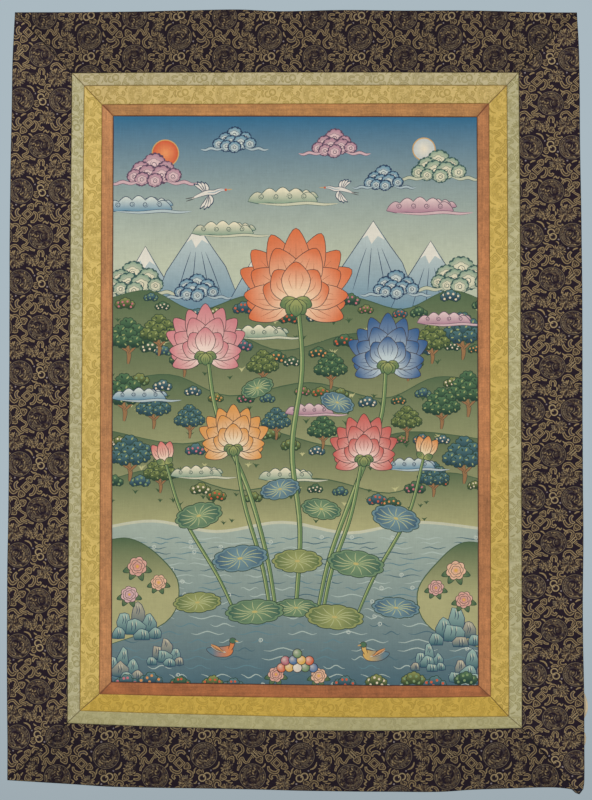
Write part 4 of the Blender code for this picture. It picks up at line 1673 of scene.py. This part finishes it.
def lotus(chart, x, y, radius, base, tip, line, draws):
    """An open lotus from the side: three rows of petals round a seed head."""
    foot = y - 0.35 * radius
    back = 0.5 * (base + tip)
    for turn in (-62, 62, -42, 42, -21, 21, 0):
        reach = radius * (1.28 - 0.0022 * abs(turn) + draws.uniform(-0.03, 0.03))
        draw_petal(chart, reach, 0.5 * radius, x, foot, turn, back, tip, line)
    chart.lined(disc(x, y + 0.12 * radius, 0.3 * radius, 20, 0.5), tint(150, 156, 84), line, 0.9)
    for step in range(16):
        angle = 2 * math.pi * step / 16
        spot = (x + 0.42 * radius * math.cos(angle), y + 0.14 * radius + 0.2 * radius * math.sin(angle))
        vein(chart, [(x + 0.25 * radius * math.cos(angle), y + 0.12 * radius), spot], GOLD_LINE, 1, 2)
        chart.lay(disc(*spot, 0.028 * radius + 0.5, 7), tint(214, 176, 92))
    for turn in (-88, 88, -52, 52, -17, 17):
        reach = radius * (1 - 0.0014 * abs(turn))
        draw_petal(chart, reach, 0.56 * radius, x, foot, turn * 1.02, base, tip, line, 0.25 * np.sign(turn))
    for turn in (-122, 122, -96, 96):
        draw_petal(
            chart, 0.92 * radius, 0.44 * radius, x, foot + 0.06 * radius, turn, base, tip, line,
            -0.5 * np.sign(turn),
        )
    for turn in (-66, 66, -35, 35, 0):
        reach = radius * (0.7 - 0.001 * abs(turn))
        draw_petal(chart, reach, 0.5 * radius, x, foot - 0.03 * radius, turn, base, tip, line)
    for turn in (-112, 112, -150, 150, 180):
        draw_petal(chart, 0.3 * radius, 0.22 * radius, x, foot, turn, *SEPAL)


show("a lotus", lotus, 0, 0, 50, *SEPAL, TRIAL_DRAWS)


# %% Buds, stems and leaves
def bud(chart, x, y, size, turn, base, tip, line):
    for shift in (-24, 24, 0):
        draw_petal(chart, size, 0.46 * size, x, y, turn + shift, base, tip, line)
    for shift in (-60, 60):
        draw_petal(chart, 0.4 * size, 0.26 * size, x, y, turn + shift, *SEPAL)


def stem(chart, points, width=5):
    chart.lay(brush(points, width + 1.8, 0.75, 6), LEAF_LINE)
    chart.lay(brush(points, width, 0.7, 6), tint(104, 134, 88))
    chart.lay(brush(np.array(points) - (0.22 * width, 0), 0.3 * width, 0.5, 6), tint(164, 178, 120))


LEAF_TONES = (
    (paint(46, 88, 78), paint(122, 152, 112)), (paint(50, 84, 108), paint(118, 152, 158)),
    (paint(76, 104, 66), paint(158, 166, 104)),
)


def lotus_leaf(chart, x, y, radius, flat, turn, tone=0):
    """A broad round leaf with a waving rim, seen aslant, its veins fanning from the stalk."""
    deep, pale = LEAF_TONES[tone]
    rim = scalloped(0, 0, radius, 11, 0.09, 6, flat)
    chart.lined(placed(rim, x, y, turn), Ink(0.3 * deep + 0.7 * pale), LEAF_LINE, 1.1)
    blade = placed(scalloped(0, 0, 0.9 * radius, 11, 0.1, 4, flat), x, y, turn)
    chart.lay(blade, round_blend(pale, deep, (x, y), 0.95 * radius))
    for step in range(13):
        angle = 2 * math.pi * (step + 0.4) / 13
        ray = np.array([math.cos(angle), flat * math.sin(angle)])
        side = np.array([-ray[1], ray[0]]) * 0.06
        points = [ray * 0.1, ray * 0.45 + side, ray * 0.82]
        vein(chart, placed(points, x, y, turn, radius), tint(176, 186, 138), 1.1, 2)
    chart.lay(placed(disc(0, 0, 0.1 * radius, 10, flat), x, y, turn), tint(186, 176, 110))


show("a leaf", lotus_leaf, 0, 0, 40, 0.5, 0)


# %% Small full flowers
def peony(chart, x, y, radius, tip, draws):
    """A small full flower: nested notched petals, deeper towards the heart, and its leaves."""
    leaf = (paint(132, 152, 100), paint(62, 96, 70), LEAF_LINE)
    for turn in (200, 250, 300, 340):
        draw_petal(chart, 1.5 * radius, 0.6 * radius, x, y, turn - 90, *leaf)
    pale = np.minimum(tip * 0.35 + paint(226, 208, 190) * 0.65, 1)
    for reach, lobes in ((1, 7), (0.72, 6), (0.46, 5)):
        spin = draws.uniform(0, 60)
        size = reach * radius
        chart.lay(scalloped(x, y, size + 0.8, lobes, 0.16, 5, 0.94, spin), DARK_LINE)
        chart.lay(scalloped(x, y, size, lobes, 0.18, 5, 0.94, spin), round_blend(tip, pale, (x, y), size))
    chart.lay(disc(x, y, 0.16 * radius, 8), tint(212, 170, 84))


show("a peony", peony, 0, 0, 12, paint(190, 88, 74), TRIAL_DRAWS)

# %% [markdown]
# ### Birds, jewels and water
# The small things are quick brush work: each is a handful of strokes, a dark one first and
# a lighter, narrower one on top, so that a thin dark line is left round it.

# %% Birds
CRANE_WINGS = (
    ((-0.1, 0.05), ((-0.9, 1.1), (-0.6, 1.2), (-0.3, 1.15), (0, 1))),
    ((0.1, -0.05), ((-0.9, -0.95), (-0.6, -1.1), (-0.25, -1.05), (0.05, -0.85))),
)
DUCK_BODY = ((-1.3, 0.35), (-0.6, -0.25), (0.5, -0.3), (1, 0.1), (0.85, 0.6), (0.2, 0.55), (-0.5, 0.5))


def crane(chart, x, y, size, flip, turn):
    """A white crane in flight, its wing tips and neck dark."""
    def at(rows):
        return placed(rows, x, y, turn, size, flip)

    white, grey = tint(214, 214, 204), tint(150, 168, 174)
    for root, tips in CRANE_WINGS:
        for tip in tips:
            middle = (0.5 * (root[0] + tip[0]) + 0.12, 0.5 * (root[1] + tip[1]))
            chart.lay(brush(at([root, middle, tip]), 0.34 * size, 0.25, 3), INDIGO)
            chart.lay(brush(at([root, middle, np.multiply(tip, 0.9)]), 0.22 * size, 0.25, 3), white)
    body = [(-1.3, 0), (-0.6, 0.12), (0, 0.16), (0.5, 0.05), (1, 0.12), (1.5, 0.02)]
    chart.lay(brush(at(body), 0.44 * size, 0.15), INDIGO)
    chart.lay(brush(at(body), 0.34 * size, 0.12), white)
    chart.lay(brush(at(body[2:]), 0.1 * size, 0.3), grey)
    chart.lay(placed(disc(0, 0, 0.11 * size, 8), *at([(1.45, 0.03)])[0]), tint(186, 84, 60))
    chart.lay(brush(at([(1.5, 0.02), (1.95, -0.04)]), 0.08 * size, 0.3, 2), GOLD_LINE)
    for shift in (-0.05, 0.05):
        chart.lay(brush(at([(-1.1, shift), (-1.8, 2 * shift)]), 0.07 * size, 0.5, 2), DARK_LINE)


def duck(chart, x, y, size, flip, breast):
    """A duck on the water with a raised wing feather."""
    def at(rows):
        return placed(rows, x, y, 0, size, flip)

    fill = blend(paint(92, 126, 140), breast, at([(-0.8, 0)])[0], at([(0.7, 0)])[0])
    chart.lined(closed_curve(at(DUCK_BODY), 4), fill, DARK_LINE, 0.9)
    neck = [(0.75, 0.3), (0.95, 0.75), (0.9, 1.05)]
    chart.two_strokes(at(neck), (0.46 * size, DARK_LINE), (0.34 * size, Ink(breast)), 0.7)
    head = placed(disc(0, 0, 0.27 * size, 12, 0.85), *at([(1, 1.1)])[0])
    chart.lined(head, tint(74, 112, 84), DARK_LINE, 0.8)
    chart.lay(brush(at([(1.2, 1.08), (1.5, 1)]), 0.14 * size, 0.4, 2), GOLD_LINE)
    for shift in (0, 0.2, 0.4):
        tip = (-0.9, 0.6 + 0.4 * shift)
        wing = at([(0.4 - shift, 0.05 + 0.3 * shift), (-0.3, 0.25 + 0.5 * shift), tip])
        feather = tint(206, 150, 96) if shift else tint(210, 206, 186)
        chart.two_strokes(wing, (0.26 * size, DARK_LINE), (0.17 * size, feather), 0.25)


show("a crane", crane, 0, 0, 18, False, 10)
show("a duck", duck, 0, 0, 17, False, paint(204, 128, 78))

# %% Jewels and water
JEWEL_TONES = ((196, 98, 62), (70, 110, 152), (208, 168, 84), (96, 134, 92), (206, 200, 186), (170, 96, 110))
JEWEL_HEAP = (
    (-2, 0), (2, 0), (-1, 0.1), (1, 0.1), (0, 0), (-1.5, 1.5), (1.5, 1.5), (-0.5, 1.6),
    (0.5, 1.6), (0, 3),
)
SHORE_REACH = 285
RIPPLE_TONES = (tint(70, 104, 116), tint(168, 188, 180), tint(92, 130, 140))


def jewels(chart, x, y, size):
    """A heap of round jewels, each with a light on its shoulder."""
    for index, (across, up) in enumerate(JEWEL_HEAP):
        tone = paint(*JEWEL_TONES[index % len(JEWEL_TONES)])
        middle = (x + 0.92 * size * across, y + 0.55 * size * up)
        light = (middle[0] - 0.15 * size, middle[1] + 0.15 * size)
        shine = 0.4 * tone + 0.6 * paint(230, 224, 206)
        chart.lay(disc(*middle, 0.58 * size, 14), DARK_LINE)
        chart.lay(disc(*middle, 0.5 * size, 14), round_blend(shine, tone, light, 0.5 * size))


def water(chart, top, base, draws):
    """Lines of ripples, closer together far off, broken by small crests."""
    level, gap = top, 7
    while level > base:
        start = -SHORE_REACH + draws.uniform(0, 30)
        while start < SHORE_REACH:
            reach = draws.uniform(26, 64)
            rows = [
                (start + share * reach, level + 0.2 * gap * math.sin(9 * share + level))
                for share in np.linspace(0, 1, 7)
            ]
            chart.lay(brush(rows, 1.5, 0.2, 2), RIPPLE_TONES[draws.randint(3)])
            if draws.uniform() < 0.22:
                crest = (start + 0.5 * reach, level + 1.5, 3.6, tint(190, 204, 194), 90)
                swirl(chart, *crest, draws.uniform() < 0.5, 1.1)
            start += reach + draws.uniform(5, 22)
        level -= gap
        gap += 0.35


show("the jewels", jewels, 0, 0, 13)

# %% [markdown]
# ### The picture, from the sky to the foreground
# The forms are now laid out, the far ones first. Lists of places keep the layout easy to
# change, and one seed makes the small differences between like forms the same every time.

# %% The sky
PICTURE_TOP = -158
SUN_AND_MOON = (
    (-196, -56, 19, paint(224, 150, 96), paint(196, 88, 58)),
    (192, -50, 16, paint(222, 218, 196), paint(184, 196, 196)),
)
HIGH_CLOUDS = (
    (-92, -40, 17, "blue"), (58, -46, 18, "lilac"), (-214, -88, 22, "lilac"), (214, -82, 21, "cream"),
    (132, -98, 16, "blue"),
)
PEAKS = (
    (-226, -196, 74), (-148, -164, 84), (-60, -206, 70), (30, -190, 76), (116, -158, 86), (202, -188, 80),
)
HIGH_BANKS = (
    (-20, -128, 52, "cream"), (186, -142, 50, "lilac"), (-236, -140, 50, "blue"), (-110, -176, 46, "cream"),
)
LOW_CLOUDS = (
    (-244, -252, 24, "cream"), (246, -246, 24, "cream"), (-150, -262, 18, "blue"), (150, -258, 18, "blue"),
)


def mountain(chart, x, peak, wide):
    """A far snow peak with shallow gullies."""
    crest = [(x - wide, -330), (x - 0.55 * wide, peak - 70), (x - 0.25 * wide, peak - 32), (x, peak)]
    crest += [(x + 0.28 * wide, peak - 36), (x + 0.5 * wide, peak - 62), (x + wide, -330)]
    fill = blend(paint(186, 202, 198), paint(92, 134, 156), (0, peak), (0, -300))
    chart.lined(np.array(crest, float), fill, INDIGO, 1.1)
    snow = [(x, peak), (x - 0.2 * wide, peak - 26), (x - 0.1 * wide, peak - 21)]
    snow += [(x - 0.03 * wide, peak - 34), (x + 0.08 * wide, peak - 22), (x + 0.2 * wide, peak - 28)]
    chart.lay(np.array(snow, float), tint(216, 218, 206))
    for share in (-0.3, -0.08, 0.18, 0.36):
        lean = share * wide
        gully = [(x + 0.4 * lean, peak - 40), (x + 0.8 * lean, peak - 70), (x + 1.2 * lean, peak - 104)]
        vein(chart, gully, INDIGO, 1.1)


def paint_sky(chart, draws):
    sky = np.array([(-300, -360), (300, -360), (300, 10), (-300, 10)], float)
    chart.lay(sky, blend(paint(46, 104, 138), paint(180, 192, 170), (0, -4), (0, -215)))
    for x, y, radius, middle, rim in SUN_AND_MOON:
        chart.lined(disc(x, y, radius, 28), round_blend(middle, rim, (x, y), radius), GOLD_LINE, 1.6)
    for row in HIGH_CLOUDS:
        cloud(chart, *row, draws)
    for row in PEAKS:
        mountain(chart, *row)
    for row in HIGH_BANKS:
        bank(chart, *row, draws)
    for row in LOW_CLOUDS:
        cloud(chart, *row, draws)


show("the sky", paint_sky, TRIAL_DRAWS)

# %% The hills
HILL_HIGH, HILL_LOW = paint(76, 102, 72), paint(166, 168, 122)
HILL_LINE = tint(66, 92, 66)
HILL_FOOT = -700
RIDGES = (
    (
        ((-290, -276), (-220, -262), (-150, -292), (-70, -270), (0, -296), (80, -272), (160, -290),
         (230, -262), (290, -280)), 0,
    ),
    (((-290, -330), (-200, -342), (-110, -322), (-20, -352), (90, -326), (180, -346), (290, -328)), 1),
    (((-290, -404), (-190, -388), (-100, -420), (20, -400), (130, -424), (210, -392), (290, -400)), 0),
    (((-290, -470), (-170, -492), (-60, -470), (60, -496), (170, -474), (290, -486)), 1),
    (((-290, -548), (-200, -530), (-90, -562), (30, -544), (140, -566), (220, -536), (290, -548)), 0),
)
TREES = (
    (-252, -372, 30), (-206, -360, 27), (250, -366, 31), (204, -372, 26), (-168, -392, 21), (168, -398, 22),
    (-258, -458, 31), (258, -452, 30), (-214, -470, 25), (218, -470, 27), (-250, -548, 30), (252, -552, 31),
    (-204, -566, 24), (206, -572, 23), (-50, -404, 23), (52, -410, 24), (-30, -486, 21), (40, -500, 22),
    (-160, -484, 22), (166, -486, 22),
)
HILL_BANKS = (
    (-56, -330, 42, "cream"), (222, -310, 40, "lilac"), (-236, -424, 40, "blue"), (20, -446, 36, "lilac"),
    (-16, -544, 40, "cream"), (170, -528, 38, "blue"), (-150, -540, 38, "cream"),
)


def paint_hills(chart, draws):
    for crest, tone in RIDGES:
        high, low = HILL_HIGH * (1 - 0.08 * tone), HILL_LOW * (1 - 0.04 * tone)
        hill(chart, crest, HILL_FOOT, high, low, HILL_LINE, 1.6)
        for _ in range(26):
            x = draws.uniform(-280, 280)
            blade = tint(58, 86, 58) if draws.uniform() < 0.65 else tint(184, 186, 134)
            grass(chart, x, crest[0][1] - draws.uniform(12, 70), draws.uniform(5, 8.5), blade, draws)
        line_of_crest = open_curve(crest, 6)
        for x in np.arange(-266, 280, 38):
            x += draws.uniform(-12, 12)
            y = np.interp(x, line_of_crest[:, 0], line_of_crest[:, 1]) - draws.uniform(8, 22)
            bush(chart, x, y, draws.uniform(8.5, 13), draws)
    for row in TREES:
        tree(chart, *row, draws)
    for row in HILL_BANKS:
        bank(chart, *row, draws)


show("the hills", paint_hills, TRIAL_DRAWS)

# %% The lake and its banks
FAR_SHORE = [(-300, -622), (-214, -610), (-120, -626), (-20, -612), (80, -628), (180, -612), (300, -624)]
BANK_CRESTS = (
    ((-300, -640), (-250, -634), (-206, -660), (-176, -704), (-196, -760), (-300, -800)),
    ((300, -646), (252, -640), (214, -668), (182, -716), (204, -770), (300, -806)),
)
ROCKS = (
    (-240, -776, 30), (238, -786, 31), (-196, -818, 22), (198, -826, 21), (-262, -838, 26), (262, -842, 26),
)


def paint_lake(chart, draws):
    shore = open_curve(FAR_SHORE, 6)
    chart.lay(brush(FAR_SHORE, 9, 0.9, 6), tint(190, 196, 172))
    lake = np.vstack([shore, [(300, -880), (-300, -880)]])
    chart.lay(lake, blend(paint(158, 176, 164), paint(72, 104, 116), (0, -612), (0, -850)))
    water(chart, -634, -858, draws)
    for crest in BANK_CRESTS:
        hill(chart, crest, crest[-1][1], HILL_HIGH, HILL_LOW, HILL_LINE, 1.6)
    for row in ROCKS:
        rock(chart, *row, draws)


show("the lake", paint_lake, TRIAL_DRAWS)

# %% The lotuses
STEMS = (
    (((2, -272), (9, -380), (-6, -500), (6, -620), (0, -740)), 6.5),
    (((-134, -352), (-118, -450), (-72, -560), (-44, -660), (-30, -742)), 5.5),
    (((136, -366), (126, -460), (84, -570), (50, -664), (32, -744)), 5.5),
    (((-92, -496), (-78, -580), (-52, -670), (-38, -744)), 5),
    (((100, -512), (82, -600), (54, -680), (40, -746)), 5),
    (((-196, -520), (-170, -600), (-118, -690), (-92, -744)), 4),
    (((192, -512), (168, -600), (118, -690), (92, -748)), 4),
)
LEAVES = (
    (-58, -408, 25, 0.55, 20, 0), (62, -430, 26, 0.55, -18, 1), (-24, -560, 30, 0.5, 12, 1),
    (38, -590, 30, 0.5, -10, 0), (-146, -600, 36, 0.52, 14, 0), (150, -604, 37, 0.52, -14, 1),
    (-84, -664, 42, 0.46, 8, 1), (90, -672, 43, 0.46, -8, 0), (2, -668, 38, 0.46, 0, 2),
    (0, -738, 34, 0.4, 0, 0), (-148, -730, 36, 0.42, 4, 2), (150, -738, 36, 0.42, -5, 1),
    (-62, -744, 44, 0.42, 3, 0), (58, -752, 44, 0.42, -4, 2),
)
FLOWERS = (
    (0, -246, 84, paint(230, 206, 172), paint(208, 112, 68)),
    (-136, -336, 58, paint(228, 212, 200), paint(200, 128, 134)),
    (138, -350, 58, paint(190, 208, 210), paint(50, 92, 140)),
    (-94, -478, 50, paint(226, 216, 186), paint(212, 150, 78)),
    (102, -494, 50, paint(230, 208, 196), paint(194, 96, 88)),
)


def paint_lotuses(chart, draws):
    for row in STEMS:
        stem(chart, *row)
    for row in LEAVES:
        lotus_leaf(chart, *row)
    bud(chart, -196, -522, 34, -12, paint(228, 208, 186), paint(206, 118, 112), DARK_LINE)
    bud(chart, 192, -514, 34, 12, paint(228, 214, 176), paint(210, 140, 76), DARK_LINE)
    for row in FLOWERS:
        lotus(chart, *row, DARK_LINE, draws)


show("the lotuses", paint_lotuses, TRIAL_DRAWS)

# %% The foreground, and the whole picture
RED = paint(190, 88, 74)
ORANGE = paint(208, 140, 80)
LILAC = paint(176, 120, 150)
CRIMSON = paint(178, 86, 96)
PEONIES = (
    (-238, -676, 15, RED), (-206, -700, 12, ORANGE), (-250, -718, 13, LILAC), (240, -682, 15, ORANGE),
    (210, -708, 12, CRIMSON), (252, -726, 13, RED), (-30, -838, 12, RED), (34, -840, 12, ORANGE),
)


def paint_foreground(chart, draws):
    for row in PEONIES:
        peony(chart, *row, draws)
    for x in np.arange(-262, 280, 43):
        if abs(x) > 70:
            x += draws.uniform(-10, 10)
            bush(chart, x, -856 + draws.uniform(-3, 6), draws.uniform(11, 15), draws)
    jewels(chart, 2, -828, 13)
    duck(chart, -112, -806, 17, False, paint(204, 128, 78))
    duck(chart, 118, -812, 17, True, paint(206, 172, 98))
    crane(chart, -132, -118, 19, False, 14)
    crane(chart, 66, -112, 16, True, -10)


def moved_ink(ink, shift):
    """A blend moved with its figure; a flat ink has no place."""
    if ink.start is None:
        return ink
    end = ink.end if np.ndim(ink.end) == 0 else ink.end + shift
    return ink._replace(start=ink.start + shift, end=end)


def paint_picture():
    draws = np.random.RandomState(11)
    chart = Chart()
    for step in (paint_sky, paint_hills, paint_lake, paint_lotuses, paint_foreground):
        step(chart, draws)
    shift = (0, PICTURE_TOP)
    chart.outlines = [outline + shift for outline in chart.outlines]
    chart.inks = [moved_ink(ink, shift) for ink in chart.inks]
    return chart


PICTURE = paint_picture()
print("painted forms:", len(PICTURE.outlines), "with", sum(map(len, PICTURE.outlines)), "points")

# %% [markdown]
# ### The painted cloth
# The picture's cloth gets a thin dark line of painted shade along its edge, just inside the seam.

# %% The painted cloth
PAINTED_THICKNESS = 1.2
# The dark line of painted shade round the picture's edge.
PAINTED_SEAM = Seam(0.8, 0.9, 0.1, EDGE_GUIDES[1], paint(62, 44, 52), None)
outline = painting_outline()
painting = close_sheet(
    "painting", outline, PICTURE, (paint(130, 140, 120), paint(196, 184, 154)), PAINTED_THICKNESS,
    False, [PAINTED_FACE, PAINTED_BACK], PAINTED_SEAM,
)
dress(painting, "painted_cloth", "painted_cloth", *strip_size(outline))

# %% [markdown]
# ## The tie ribbon
# A soft silk ribbon hangs behind the right border and bulges past its edge in two places.
# It follows the model's route, with faint stripes woven along it.

# %% The ribbon's route: its middle across, its height, and its slack behind the border
RIBBON_WIDTH = 24
RIBBON_THICKNESS = 1
RIBBON_POINTS = 60
RIBBON_DYE = srgb(226, 204, 164)
RIBBON_ROUTE = (
    (404, -976, 0.35), (409, -998, 0.8), (418.5, -1021, 3), (426.6, -1045, 4.5), (420, -1063, 3.6),
    (418, -1079, 3), (423.8, -1093, 3.6), (416, -1110, 3), (405, -1125, 2.4),
)


def ribbon_value(z, column):
    rows = [EdgePoint(row[1], row[column]) for row in RIBBON_ROUTE[::-1]]
    return np.array([smooth_value(rows, place) for place in np.atleast_1d(z)])


def behind_border(z):
    """How far the ribbon lies behind the hanging surface: half of both cloths, and its slack."""
    return ribbon_value(z, 2) + 0.5 * (SILK_THICKNESS + RIBBON_THICKNESS)


drop = np.linspace(RIBBON_ROUTE[0][1], RIBBON_ROUTE[-1][1], RIBBON_POINTS)
middle_line = np.column_stack([ribbon_value(drop, 0), drop])
run = np.gradient(middle_line, axis=0)
run /= np.linalg.norm(run, axis=1)[:, None]
side_step = np.column_stack([-run[:, 1], run[:, 0]])
ribbon_length = float(np.sum(np.linalg.norm(np.diff(middle_line, axis=0), axis=1))) * MM
print("length of the ribbon:", round(ribbon_length, 3), "m")

# %% The ribbon, with its woven stripes
STRIPES = ((-0.36, 0.87), (-0.2, 1.08), (0, 0.87), (0.2, 1.08), (0.36, 0.87))
STRIPE_WIDTH = 1.2
stripes = Chart()
for place, share in STRIPES:
    stripe = middle_line + side_step * place * RIBBON_WIDTH
    stripes.lay(brush(stripe, STRIPE_WIDTH, 1, 1), Ink(np.minimum(share * RIBBON_DYE, 1)))
half_width = side_step * 0.5 * RIBBON_WIDTH
outline = np.vstack([middle_line + half_width, (middle_line - half_width)[::-1]])
# The ribbon's edges get a line of painted shade.
ribbon = close_sheet(
    "ribbon", outline, stripes, (RIBBON_DYE, RIBBON_DYE), RIBBON_THICKNESS, True,
    [RIBBON_FACE, RIBBON_FACE], Seam(0.2, 0.8, 0, EDGE_GUIDES[0], 0.8 * RIBBON_DYE, None), (),
    behind_border,
)
ribbon_size = (RIBBON_WIDTH * MM, ribbon_length)
dress(ribbon, "tie_ribbon", "ribbon_silk", ribbon_size, RIBBON_WIDTH * MM * ribbon_length)
